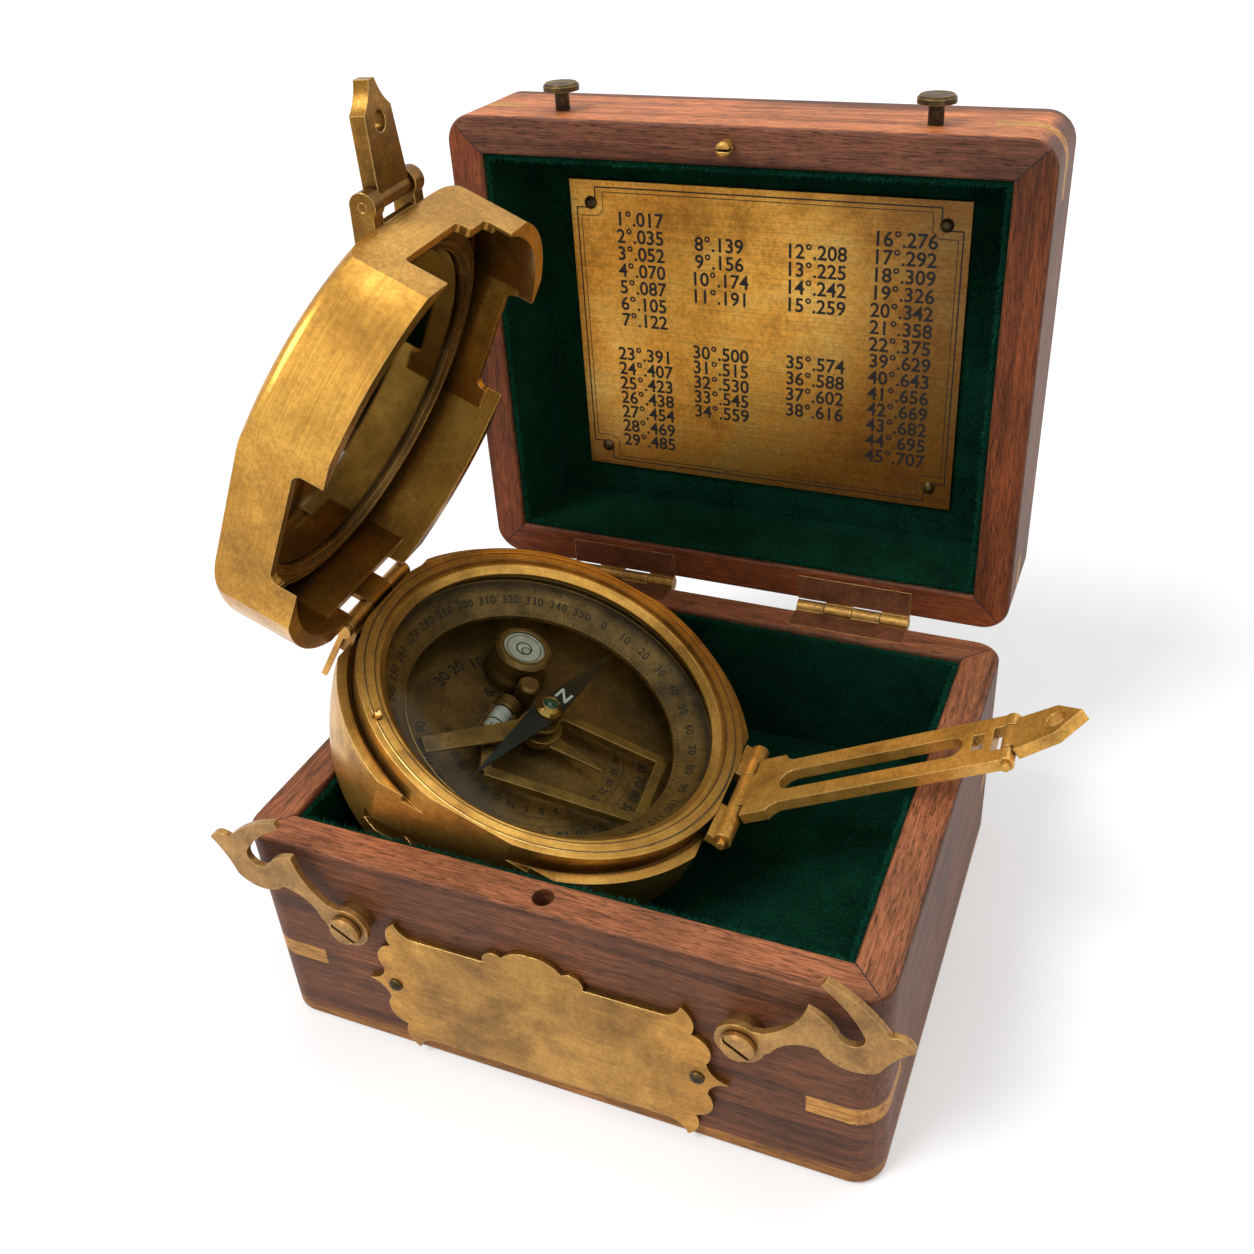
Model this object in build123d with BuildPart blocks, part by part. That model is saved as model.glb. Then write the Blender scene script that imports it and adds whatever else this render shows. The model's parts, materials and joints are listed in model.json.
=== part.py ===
"""Wooden compass box with hinged lid and two swing hooks, and the pocket transit compass in it.

X runs right along the front, Y to the rear, Z up. The origin is the middle of the underside.
The lid is open and the compass lies tilted, as in the photograph. All sizes are millimetres.
"""
import os
from math import asin, cos, radians, sin, sqrt

from build123d import *

os.makedirs("parts", exist_ok=True)

# Box
box_width = 125.0
base_height = 49.0
lid_height = 26.0
wall = 7.8
board = 4.0
corner_radius = 6.0
foot_round = 1.6
rim_round = 0.7
rim_gap = 0.3

# Velvet
lining = 1.2
lining_drop = 1.0
cushion_top = 19.0
ceiling_lining = 1.0

# Corner keys
key_reach = 13.5
key_height = 4.2
base_key_foot = 17.6
lid_key_foot = 9.0

# Box hinges
hinge_offset = 1.9
hinge_spacing = 56.6
hinge_length = 26.0
hinge_knuckles = 4
knuckle_gap = 0.2
barrel_diameter = 3.1
pin_diameter = 1.6
pin_clearance = 0.1
leaf_thickness = 0.8
leaf_reach = 6.0
lid_open = 91.0

# Hooks and studs
hook_spacing = 77.0
hook_height = 35.5
hook_thickness = 1.3
hook_standoff = 2.5
hook_play = 0.15
hook_eye = 4.4
hook_hole_clearance = 0.2
screw_shank = 1.5
screw_head = 3.1
screw_head_height = 1.4
screw_slot_turn = -35.0
stud_slot_turn = 20.0
washer_radius = 3.4
stud_rise = 21.2
stud_neck = 1.5
stud_head = 3.7
stud_head_height = 1.5
slot_width = 0.9
slot_depth = 0.7
left_hook_turn = 60.0
right_hook_turn = 70.0

# Nameplate
plate_thickness = 1.2
nameplate_x = -1.5
nameplate_height = 19.4
nameplate_half = 36.9
nameplate_pin_inset = 5.9

# Number plate in the lid
table_width = 89.5
table_height = 69.5
table_thickness = 0.8
nail_inset = 5.0
nail_radius = 1.4
nail_rise = 1.0
nail_edge = 0.3

# Locating pin
locating_pin_radius = 1.5
locating_pin_length = 3.6
locating_clearance = 0.5
locating_hole_depth = 6.0
pin_slit = 0.5

# Compass case
compass_room = 2.9
lean = 25.5
turn = 2.6
rest_gap = 0.3
compass_y = -0.6
case_depth = 21.2
flat_half = 40.1
ledge_radius = 44.2
ledge_drop = 3.3
ring_radius = 41.0
ring_inner = 37.5
ring_lip = 36.4
ring_lip_drop = 0.7
window_lip_drop = 2.1
groove_width = 1.2
groove_depth = 1.6
bulge_radius = 43.9
foot_radius = 42.2
cavity_radius = 36.5
floor_thickness = 3.2
glass_radius = 37.3
glass_thickness = 1.2
glass_drop = 2.9
window_radius = 35.0
dial_inner = 29.3
dial_drop = 9.6
dial_outer = 36.2
dial_rise = 5.4
seat_drop = 10.6
scale_thickness = 1.0

# Levels, needle and lifter under the glass
eye_u = -12.0
eye_v = 14.6
eye_radius = 6.4
eye_bore = 4.6
eye_top = -8.4
eye_foot_radius = 7.0
eye_foot_height = 2.4
eye_foot_slope = 1.2
eye_rim = 0.8
eye_glass_drop = 2.0
eye_glass = 1.4
boss_u = -6.6
boss_v = 6.6
boss_radius = 2.4
boss_top = -9.4
boss_chamfer = 0.5
post_radius = 1.2
post_top = -8.4
post_point = 1.2
post_foot = 0.8
needle_height = -7.2
needle_thickness = 0.5
needle_length = 25.4
needle_half_width = 2.9
needle_turn = 78.0
cap_radius = 2.9
cap_height = 2.6
jewel_radius = 1.6
lifter_height = -10.8
lifter_thickness = 0.7
lift_pin_u = -25.6
lift_pin_v = -29.4
lift_pin_radius = 0.8
lift_pin_rise = 1.3
lift_pin_fit = 0.15
frame_height = -14.4
frame_thickness = 2.0
frame_bar = 2.2
frame_hub = 4.6
frame_play = 0.4
pointer_thickness = 0.6
vial_u = -8.4
vial_high = 2.4
vial_low = -9.0
vial_radius = 2.1
vial_holder_radius = 2.9
vial_centre = -13.9
vial_window = 7.4
vial_window_shift = -1.0
vial_window_rise = 0.8

# Hinges of the compass
case_barrel = 1.9
case_pin = 0.9
case_pin_clearance = 0.1
case_leaf = 1.2
lid_hinge_u = -42.6
lid_hinge_n = -2.7
lid_hinge_half = 11.6
arm_hinge_u = 43.4
arm_hinge_n = -0.3
arm_hinge_low = -14.4
arm_hinge_high = 13.1

# Mirror lid
mirror_open = 90.0
lid_seat_gap = 0.3
skirt_depth = 15.5
skirt_inner = 41.3
skirt_flat_wall = 1.7
lid_plate = 1.5
mouth_notch_half = 12.0
mouth_notch_depth = 8.0
mouth_step = 5.2
mouth_step_start = 6.6
side_notch_low = -10.4
side_notch_high = 13.6
side_notch_depth = 5.4
notch_round = 1.8
lid_rim_round = 2.4
mirror_radius = 33.0
mirror_thickness = 1.6
mirror_ring_outer = 37.6
mirror_ring_height = 3.0

# Sights
leaf_length = 18.0
leaf_width = 10.0
leaf_metal = 2.8
leaf_shoulder = 13.2
leaf_shoulder_half = 4.2
leaf_tip_half = 0.9
leaf_hole = 1.7
leaf_eye = 1.7
leaf_lean = 28.0
bracket_u = 42.5
bracket_n = 15.5
ear_thickness = 3.0
ear_round = 2.4
ear_foot = 11.0
bracket_plate = 1.0
bracket_length = 14.0
bracket_tongue = 27.0
ear_gap = 0.3
sight_pin = 0.8
arm_angle = 52.0
arm_metal = 2.4
arm_root_width = 17.0
arm_width = 13.0
arm_root_end = 8.4
arm_root_start = 2.4
arm_joint = 57.0
arm_fork = 3.0
arm_fork_width = 3.2
arm_waist_end = 11.6
window_x = 51.2
window_long = 2.2
window_wide = 4.4
slot_start = 12.0
slot_end = 45.4
slot_half = 2.8
tip_tilt = 10.0
tip_length = 15.0
tip_gap = 0.3
tip_shoulder = 9.9
tip_hole = 1.9
joint_barrel = 1.5

# Slot low in the front of the compass case, and the stop strip on its lid hinge
cutter_radius = 9.1
cutter_width = 3.0
cutter_depth = 3.0
cutter_u = -14.3
cutter_foot = 4.6
stop_head = 1.7
stop_width = 1.2
stop_thickness = 1.0
stop_gap = 0.2
stop_end_u = -1.4
stop_end_n = -14.0


def plane_in(frame, point, x_dir, z_dir):
    """Plane at a point of a frame, its directions given in that frame."""
    def turned(direction):
        return frame.from_local_coords(Vector(*direction)) - frame.origin
    return Plane(origin=frame.from_local_coords(Vector(*point)), x_dir=turned(x_dir), z_dir=turned(z_dir))


box_frame = Plane.XY
box_depth = 2 * (flat_half + compass_room + lining + wall)
hinge_y = box_depth / 2 + hinge_offset
opening = radians(lid_open)
lid_frame = Plane(
    origin=(0, hinge_y * (1 - cos(opening)), base_height + hinge_y * sin(opening)),
    x_dir=(1, 0, 0), z_dir=(0, sin(opening), cos(opening)))

leaning, turning = radians(lean), radians(turn)
foot_half_chord = sqrt(foot_radius ** 2 - flat_half ** 2)
low_reach = flat_half * cos(turning) + foot_half_chord * sin(turning)
low_z = cushion_top + rest_gap
rim_x = -box_width / 2 + wall
low_x = rim_x + (rest_gap + cos(leaning) * (base_height - low_z)) / sin(leaning)
compass = Plane(
    origin=(low_x - low_reach * cos(leaning) + case_depth * sin(leaning), compass_y,
            low_z + low_reach * sin(leaning) + case_depth * cos(leaning)),
    x_dir=(cos(leaning) * cos(turning), sin(turning), -sin(leaning) * cos(turning)),
    z_dir=(sin(leaning), 0, cos(leaning)))
compass_axis = Axis(compass.origin, compass.z_dir)
compass_section = plane_in(compass, (0, 0, 0), (1, 0, 0), (0, -1, 0))

swing = radians(mirror_open)
mirror_frame = plane_in(
    compass,
    (lid_hinge_u - lid_hinge_u * cos(swing) + lid_hinge_n * sin(swing), 0,
     lid_hinge_n - lid_hinge_u * sin(swing) - lid_hinge_n * cos(swing)),
    (cos(swing), 0, sin(swing)), (-sin(swing), 0, cos(swing)))
mirror_axis = Axis(mirror_frame.origin, mirror_frame.z_dir)
mirror_section = plane_in(mirror_frame, (0, 0, 0), (1, 0, 0), (0, -1, 0))

# Arm frame: x along the arm from its hinge, y across it, z out of its upper face
rise = radians(arm_angle)
arm_frame = plane_in(compass, (arm_hinge_u, 0, arm_hinge_n), (cos(rise), 0, sin(rise)), (-sin(rise), 0, cos(rise)))
tilt = radians(tip_tilt)
tip_frame = plane_in(arm_frame, (arm_joint, 0, 0), (cos(tilt), 0, sin(tilt)), (-sin(tilt), 0, cos(tilt)))
droop = radians(leaf_lean)
leaf_frame = plane_in(mirror_frame, (bracket_u, 0, bracket_n), (cos(droop), 0, sin(droop)),
                      (-sin(droop), 0, cos(droop)))


def write(piece, name):
    piece.part.label = name
    export_step(piece.part, "parts/" + name + ".step")


def turned_piece(section, axis, points):
    """Solid of revolution from radius and height pairs, in the open part."""
    with BuildSketch(section) as profile:
        with BuildLine():
            Polyline(*points, close=True)
        make_face()
    revolve(profile.sketch, axis=axis)


def dome(plane, radius, edge, height):
    """Domed nail head standing on a plane, in the open part."""
    ball = (radius ** 2 + (height - edge) ** 2) / (2 * (height - edge))
    half_turn = asin(radius / ball) / 2
    with BuildSketch(plane_in(plane, (0, 0, 0), (1, 0, 0), (0, -1, 0))) as profile:
        with BuildLine():
            Polyline((0, height), (0, 0), (radius, 0), (radius, edge))
            ThreePointArc((radius, edge), (ball * sin(half_turn), height - ball * (1 - cos(half_turn))),
                          (0, height))
        make_face()
    revolve(profile.sketch, axis=Axis(plane.origin, plane.z_dir))


def ring_outline():
    """Plan of the four mitred walls, drawn in the open sketch."""
    RectangleRounded(box_width, box_depth, corner_radius)
    Rectangle(box_width - 2 * wall, box_depth - 2 * wall, mode=Mode.SUBTRACT)


def wall_wedge(side):
    """Mitred plan of one wall: front, back, left or right."""
    x, y = box_width / 2, box_depth / 2
    xi, yi = x - wall, y - wall
    corners = {
        "front": [(-x, -y), (x, -y), (xi, -yi), (-xi, -yi)],
        "back": [(-x, y), (-xi, yi), (xi, yi), (x, y)],
        "left": [(-x, -y), (-xi, -yi), (-xi, yi), (-x, y)],
        "right": [(x, -y), (x, y), (xi, yi), (xi, -yi)],
    }
    Polygon(*corners[side], align=None)


def key_plan():
    """Four corner keys, drawn in the open sketch."""
    RectangleRounded(box_width, box_depth, corner_radius)
    x, y = box_width / 2, box_depth / 2
    waist = [(x - key_reach, y), (x, y - key_reach), (x, -y + key_reach), (x - key_reach, -y),
             (-x + key_reach, -y), (-x, -y + key_reach), (-x, y - key_reach), (-x + key_reach, y)]
    Polygon(*waist, align=None, mode=Mode.SUBTRACT)


# Four walls of the base and of the lid
with BuildPart() as base_ring:
    with BuildSketch(box_frame.offset(board)):
        ring_outline()
    extrude(amount=base_height - board)
    fillet(base_ring.faces().sort_by(Axis.Z)[-1].edges(), rim_round)
    with BuildSketch(box_frame.offset(base_key_foot)):
        key_plan()
    extrude(amount=key_height, mode=Mode.SUBTRACT)
    with BuildSketch(box_frame.offset(base_height)):
        with Locations((0, -box_depth / 2 + wall / 2)):
            Circle(locating_pin_radius + locating_clearance)
    extrude(amount=-locating_hole_depth, mode=Mode.SUBTRACT)
    with BuildSketch(box_frame.offset(base_height)):
        with GridLocations(hinge_spacing, 0, 2, 1):
            with Locations((0, box_depth / 2)):
                Rectangle(hinge_length, 2 * leaf_reach)
    extrude(amount=-leaf_thickness, mode=Mode.SUBTRACT)

for side in ("front", "back", "left", "right"):
    with BuildPart() as base_wall:
        add(base_ring.part)
        with BuildSketch(box_frame):
            wall_wedge(side)
        extrude(amount=base_height, mode=Mode.INTERSECT)
    write(base_wall, "base_" + side + "_wall")

lid_axis = Axis(lid_frame.origin, lid_frame.z_dir)
with BuildPart() as lid_ring:
    with BuildSketch(lid_frame.offset(rim_gap)):
        ring_outline()
    extrude(amount=lid_height - board - rim_gap)
    fillet(lid_ring.faces().sort_by(lid_axis)[0].edges(), rim_round)
    with BuildSketch(lid_frame.offset(lid_key_foot)):
        key_plan()
    extrude(amount=key_height, mode=Mode.SUBTRACT)
    with BuildSketch(lid_frame.offset(rim_gap)):
        with GridLocations(hinge_spacing, 0, 2, 1):
            with Locations((0, box_depth / 2)):
                Rectangle(hinge_length, 2 * leaf_reach)
    extrude(amount=leaf_thickness, mode=Mode.SUBTRACT)

for side in ("front", "back", "left", "right"):
    with BuildPart() as lid_wall:
        add(lid_ring.part)
        with BuildSketch(lid_frame):
            wall_wedge(side)
        extrude(amount=lid_height, mode=Mode.INTERSECT)
    write(lid_wall, "lid_" + side + "_wall")

with BuildPart() as bottom_board:
    with BuildSketch(box_frame):
        RectangleRounded(box_width, box_depth, corner_radius)
    extrude(amount=board)
    fillet(bottom_board.faces().sort_by(Axis.Z)[0].edges(), foot_round)
write(bottom_board, "bottom_board")

with BuildPart() as top_board:
    with BuildSketch(lid_frame.offset(lid_height - board)):
        RectangleRounded(box_width, box_depth, corner_radius)
    extrude(amount=board)
    fillet(top_board.faces().sort_by(lid_axis)[-1].edges(), foot_round)
write(top_board, "top_board")

with BuildPart() as base_corner_keys:
    with BuildSketch(box_frame.offset(base_key_foot)):
        key_plan()
    extrude(amount=key_height)
write(base_corner_keys, "base_corner_keys")

with BuildPart() as lid_corner_keys:
    with BuildSketch(lid_frame.offset(lid_key_foot)):
        key_plan()
    extrude(amount=key_height)
write(lid_corner_keys, "lid_corner_keys")

# Velvet linings
inner_width, inner_depth = box_width - 2 * wall, box_depth - 2 * wall
with BuildPart() as base_lining:
    with BuildSketch(box_frame.offset(board)):
        Rectangle(inner_width, inner_depth)
    extrude(amount=base_height - lining_drop - board)
    with BuildSketch(box_frame.offset(cushion_top)):
        Rectangle(inner_width - 2 * lining, inner_depth - 2 * lining)
    extrude(amount=base_height, mode=Mode.SUBTRACT)
write(base_lining, "base_lining")

lid_ceiling = lid_height - board
with BuildPart() as lid_lining:
    with BuildSketch(lid_frame.offset(lining_drop)):
        Rectangle(inner_width, inner_depth)
    extrude(amount=lid_ceiling - lining_drop)
    with BuildSketch(lid_frame):
        Rectangle(inner_width - 2 * lining, inner_depth - 2 * lining)
    extrude(amount=lid_ceiling - ceiling_lining, mode=Mode.SUBTRACT)
write(lid_lining, "lid_lining")

# Engraved plate under the lid's ceiling and its nails
plate_back = lid_ceiling - ceiling_lining
with BuildPart() as number_plate:
    with BuildSketch(lid_frame.offset(plate_back)):
        Rectangle(table_width, table_height)
    extrude(amount=-table_thickness)
write(number_plate, "number_plate")

nail_x, nail_y = table_width / 2 - nail_inset, table_height / 2 - nail_inset
with BuildPart() as plate_nails:
    for x, y in ((-nail_x, -nail_y), (nail_x, -nail_y), (-nail_x, nail_y), (nail_x, nail_y)):
        nail_plane = plane_in(lid_frame, (x, y, plate_back - table_thickness), (1, 0, 0), (0, 0, -1))
        dome(nail_plane, nail_radius, nail_edge, nail_rise)
write(plate_nails, "plate_nails")

# Hinge leaves: knuckles alternate between the base and the lid
knuckle_pitch = hinge_length / hinge_knuckles
barrel_radius = barrel_diameter / 2


def hinge_leaves(frame, hinge_point, leaf_side, first):
    """Both box hinges' leaves of one side, with every second knuckle, in the open part."""
    hinge_height = hinge_point[1]
    for middle in (-hinge_spacing / 2, hinge_spacing / 2):
        start = middle - hinge_length / 2
        with BuildSketch(frame.offset(hinge_height)) as leaf:
            with Locations((middle, box_depth / 2 - leaf_reach / 2)):
                Rectangle(hinge_length, leaf_reach)
        extrude(leaf.sketch, amount=leaf_side * leaf_thickness)
        for index in range(first, hinge_knuckles, 2):
            low = start + index * knuckle_pitch + knuckle_gap / 2
            long = knuckle_pitch - knuckle_gap
            with BuildSketch(frame.offset(hinge_height)) as tongue:
                with Locations((low + long / 2, box_depth / 2 + hinge_offset / 2)):
                    Rectangle(long, hinge_offset)
            extrude(tongue.sketch, amount=leaf_side * leaf_thickness)
            with BuildSketch(plane_in(frame, (low, hinge_point[0], 0), (0, 1, 0), (1, 0, 0))) as barrel:
                Circle(barrel_radius)
            extrude(barrel.sketch, amount=long)


def hinge_bores(frame, clearance):
    """Pin holes through the knuckles of the open part."""
    for middle in (-hinge_spacing / 2, hinge_spacing / 2):
        start = middle - hinge_length / 2
        with BuildSketch(plane_in(frame, (start, hinge_y, 0), (0, 1, 0), (1, 0, 0))) as bore:
            Circle(pin_diameter / 2 + clearance)
        extrude(bore.sketch, amount=hinge_length, mode=Mode.SUBTRACT)


hinge_base_frame = box_frame.offset(base_height)
with BuildPart() as base_hinge_leaves:
    hinge_leaves(hinge_base_frame, (hinge_y, 0), -1, 0)
    hinge_bores(hinge_base_frame, 0)
write(base_hinge_leaves, "base_hinge_leaves")

with BuildPart() as lid_hinge_leaves:
    hinge_leaves(lid_frame, (hinge_y, rim_gap), 1, 1)
    hinge_bores(lid_frame, pin_clearance)
write(lid_hinge_leaves, "lid_hinge_leaves")

with BuildPart() as hinge_pins:
    for middle in (-hinge_spacing / 2, hinge_spacing / 2):
        with BuildSketch(plane_in(hinge_base_frame, (middle - hinge_length / 2, hinge_y, 0),
                                  (0, 1, 0), (1, 0, 0))):
            Circle(pin_diameter / 2)
        extrude(amount=hinge_length)
write(hinge_pins, "hinge_pins")

# Locating pin in the lid's front rim
with BuildPart() as locating_pin:
    with BuildSketch(lid_frame.offset(rim_gap)):
        with Locations((0, -box_depth / 2 + wall / 2)):
            Circle(locating_pin_radius)
    extrude(amount=-locating_pin_length)
    chamfer(locating_pin.faces().sort_by(lid_axis)[0].edges(), locating_pin_radius / 3)
    with BuildSketch(lid_frame.offset(rim_gap - locating_pin_length)):
        with Locations((0, -box_depth / 2 + wall / 2)):
            Rectangle(2 * locating_pin_radius, pin_slit)
    extrude(amount=locating_pin_length * 0.6, mode=Mode.SUBTRACT)
write(locating_pin, "locating_pin")

# Front plane of the base: x right, y up, z out of the front face
front = Plane(origin=(0, -box_depth / 2, 0), x_dir=(1, 0, 0), z_dir=(0, -1, 0))


def hook_plane(side, offset, turned):
    """Plane of a hook round its pivot: side -1 left, 1 right, turned outwards from upright."""
    spin = radians(turned)
    return plane_in(front, (side * hook_spacing / 2, hook_height, offset),
                    (cos(spin), -side * sin(spin), 0), (0, 0, 1))


hook_turn = {-1: left_hook_turn, 1: right_hook_turn}
hook_back = hook_standoff
hook_front = hook_standoff + hook_thickness


def hook(side):
    """One swing hook, its outline drawn upright for the left side and mirrored for the right."""
    m = -side
    plane = hook_plane(side, hook_back, hook_turn[side])
    with BuildPart() as body:
        with BuildSketch(plane):
            with BuildLine():
                Polyline((m * -3.0, 2.0), (m * -2.0, 5.0))
                ThreePointArc((m * -2.0, 5.0), (m * 0.2, 9.4), (m * -0.6, 14.2))
                ThreePointArc((m * -0.6, 14.2), (m * -5.4, 18.8), (m * -5.3, 23.2))
                ThreePointArc((m * -5.3, 23.2), (m * -2.9, 26.0), (m * -0.5, 30.7))
                ThreePointArc((m * -0.5, 30.7), (m * 1.6, 30.0), (m * 2.6, 27.5))
                ThreePointArc((m * 2.6, 27.5), (m * 9.2, 24.9), (m * 14.6, 20.8))
                Polyline((m * 14.6, 20.8), (m * 13.6, 19.6))
                ThreePointArc((m * 13.6, 19.6), (m * 8.0, 22.3), (m * 2.9, 23.3))
                ThreePointArc((m * 2.9, 23.3), (m * 0.3, 21.0), (m * 2.2, 18.6))
                ThreePointArc((m * 2.2, 18.6), (m * 5.8, 17.6), (m * 8.35, 15.3))
                ThreePointArc((m * 8.35, 15.3), (m * 3.9, 10.0), (m * 2.4, 5.0))
                Polyline((m * 2.4, 5.0), (m * 3.0, 2.0), (m * -3.0, 2.0))
            make_face()
            Circle(hook_eye)
            Circle(screw_shank + hook_hole_clearance, mode=Mode.SUBTRACT)
        extrude(amount=hook_thickness)
    return body


write(hook(-1), "left_hook")
write(hook(1), "right_hook")

with BuildPart() as hook_washers:
    with BuildSketch(front):
        with GridLocations(hook_spacing, 0, 2, 1):
            with Locations((0, hook_height)):
                Circle(washer_radius)
                Circle(screw_shank, mode=Mode.SUBTRACT)
    extrude(amount=hook_standoff - hook_play)
write(hook_washers, "hook_washers")

screw_seat = hook_front + hook_play
with BuildPart() as hook_screws:
    with BuildSketch(front):
        with GridLocations(hook_spacing, 0, 2, 1):
            with Locations((0, hook_height)):
                Circle(screw_shank)
    extrude(amount=screw_seat)
    with BuildSketch(front.offset(screw_seat)):
        with GridLocations(hook_spacing, 0, 2, 1):
            with Locations((0, hook_height)):
                Circle(screw_head)
    extrude(amount=screw_head_height)
    chamfer(hook_screws.faces().sort_by(Axis.Y)[0:2].edges(), screw_head_height / 3)
    with BuildSketch(front.offset(screw_seat + screw_head_height - slot_depth)):
        with GridLocations(hook_spacing, 0, 2, 1):
            with Locations((0, hook_height)):
                Rectangle(2.2 * screw_head, slot_width, rotation=screw_slot_turn)
    extrude(amount=slot_depth, mode=Mode.SUBTRACT)
write(hook_screws, "hook_screws")

# Studs on the lid's front wall
stud_local = hook_height + stud_rise - base_height
lid_front = plane_in(lid_frame, (0, -box_depth / 2, 0), (1, 0, 0), (0, -1, 0))
with BuildPart() as hook_studs:
    with BuildSketch(lid_front):
        with GridLocations(hook_spacing, 0, 2, 1):
            with Locations((0, stud_local)):
                Circle(stud_neck)
    extrude(amount=screw_seat)
    with BuildSketch(lid_front.offset(screw_seat)):
        with GridLocations(hook_spacing, 0, 2, 1):
            with Locations((0, stud_local)):
                Circle(stud_head)
    extrude(amount=stud_head_height)
    stud_axis = Axis(lid_front.origin, lid_front.z_dir)
    chamfer(hook_studs.faces().sort_by(stud_axis)[-2:].edges(), stud_head_height / 3)
    with BuildSketch(lid_front.offset(screw_seat + stud_head_height - slot_depth)):
        with GridLocations(hook_spacing, 0, 2, 1):
            with Locations((0, stud_local)):
                Rectangle(2.2 * stud_head, slot_width, rotation=stud_slot_turn)
    extrude(amount=slot_depth, mode=Mode.SUBTRACT)
write(hook_studs, "hook_studs")

# Nameplate with scrolled ends and a lobed crest, and its pins
with BuildPart() as nameplate:
    with BuildSketch(plane_in(front, (nameplate_x, nameplate_height, 0), (1, 0, 0), (0, 0, 1))):
        for s in (-1, 1):
            with BuildLine():
                Polyline((0, -14.2), (s * 25.0, -14.2))
                ThreePointArc((s * 25.0, -14.2), (s * 27.2, -15.2), (s * 28.5, -17.4))
                ThreePointArc((s * 28.5, -17.4), (s * 30.6, -14.6), (s * 30.2, -11.0))
                ThreePointArc((s * 30.2, -11.0), (s * 33.4, -8.4), (s * 32.8, -4.2))
                ThreePointArc((s * 32.8, -4.2), (s * 34.2, -1.2), (s * nameplate_half, 0))
                ThreePointArc((s * nameplate_half, 0), (s * 34.2, 1.2), (s * 32.8, 4.2))
                ThreePointArc((s * 32.8, 4.2), (s * 33.4, 8.4), (s * 30.2, 11.0))
                ThreePointArc((s * 30.2, 11.0), (s * 30.6, 14.6), (s * 28.5, 17.4))
                ThreePointArc((s * 28.5, 17.4), (s * 27.2, 15.2), (s * 25.0, 14.2))
                Polyline((s * 25.0, 14.2), (s * 10.0, 14.2))
                ThreePointArc((s * 10.0, 14.2), (s * 9.0, 16.8), (s * 6.0, 16.6))
                ThreePointArc((s * 6.0, 16.6), (s * 4.0, 18.4), (0, 19.1))
                Polyline((0, 19.1), (0, -14.2))
            make_face()
    extrude(amount=plate_thickness)
    with BuildSketch(front):
        with Locations((nameplate_x, nameplate_height)):
            with GridLocations(2 * (nameplate_half - nameplate_pin_inset), 0, 2, 1):
                Circle(screw_shank / 2)
    extrude(amount=plate_thickness, mode=Mode.SUBTRACT)
write(nameplate, "nameplate")

with BuildPart() as nameplate_pins:
    with BuildSketch(front):
        with Locations((nameplate_x, nameplate_height)):
            with GridLocations(2 * (nameplate_half - nameplate_pin_inset), 0, 2, 1):
                Circle(screw_shank / 2)
    extrude(amount=plate_thickness)
    for s in (-1, 1):
        pin_x = nameplate_x + s * (nameplate_half - nameplate_pin_inset)
        dome(plane_in(front, (pin_x, nameplate_height, plate_thickness), (1, 0, 0), (0, 0, 1)),
             nail_radius, nail_edge, nail_rise)
write(nameplate_pins, "nameplate_pins")


def cut_flats(frame, half, low, high):
    """Keep what lies within a square of the given half width."""
    with BuildSketch(frame.offset(low)) as square:
        Rectangle(2 * half, 2 * half)
    extrude(square.sketch, amount=high - low, mode=Mode.INTERSECT)


# Compass case
floor_top = -case_depth + floor_thickness
with BuildPart() as compass_case:
    with BuildSketch(compass_section):
        with BuildLine():
            Polyline((0, -case_depth), (foot_radius, -case_depth))
            ThreePointArc((foot_radius, -case_depth), (bulge_radius, -case_depth / 2), (ledge_radius, -ledge_drop))
            Polyline((ledge_radius, -ledge_drop), (ring_radius + groove_width, -ledge_drop),
                     (ring_radius + groove_width, -ledge_drop - groove_depth),
                     (ring_radius, -ledge_drop - groove_depth), (ring_radius, 0), (ring_inner, 0),
                     (ring_inner, -seat_drop), (cavity_radius, -seat_drop),
                     (cavity_radius, floor_top), (0, floor_top), (0, -case_depth))
        make_face()
    revolve(axis=compass_axis)
    cut_flats(compass, flat_half, -case_depth - 1, 1)
    with BuildSketch(compass):
        with Locations((lift_pin_u, lift_pin_v)):
            Circle(lift_pin_radius + lift_pin_fit)
    extrude(amount=-ledge_drop - groove_depth, mode=Mode.SUBTRACT)
    with BuildSketch(compass.offset(-case_depth + cutter_foot)):
        with Locations((cutter_u, -flat_half + cutter_depth - cutter_radius)):
            Circle(cutter_radius)
    extrude(amount=cutter_width, mode=Mode.SUBTRACT)
write(compass_case, "compass_case")


with BuildPart() as glass_ring:
    turned_piece(compass_section, compass_axis,
                 [(ring_inner, -ring_lip_drop), (ring_inner, -glass_drop), (window_radius, -glass_drop),
                  (window_radius, -window_lip_drop), (ring_lip, -ring_lip_drop)])
write(glass_ring, "glass_ring")

with BuildPart() as glass:
    with BuildSketch(compass.offset(-glass_drop)):
        Circle(glass_radius)
    extrude(amount=-glass_thickness)
write(glass, "glass")

glass_foot = -glass_drop - glass_thickness
with BuildPart() as dial_ring:
    turned_piece(compass_section, compass_axis,
                 [(ring_inner, glass_foot), (ring_inner, -seat_drop), (dial_inner, -seat_drop),
                  (dial_inner, -dial_drop), (dial_outer, -dial_rise), (dial_outer, glass_foot)])
write(dial_ring, "dial_ring")

scale_top = floor_top + scale_thickness
with BuildPart() as scale_plate:
    with BuildSketch(compass.offset(floor_top)):
        Circle(cavity_radius)
    extrude(amount=scale_thickness)
write(scale_plate, "scale_plate")

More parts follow.
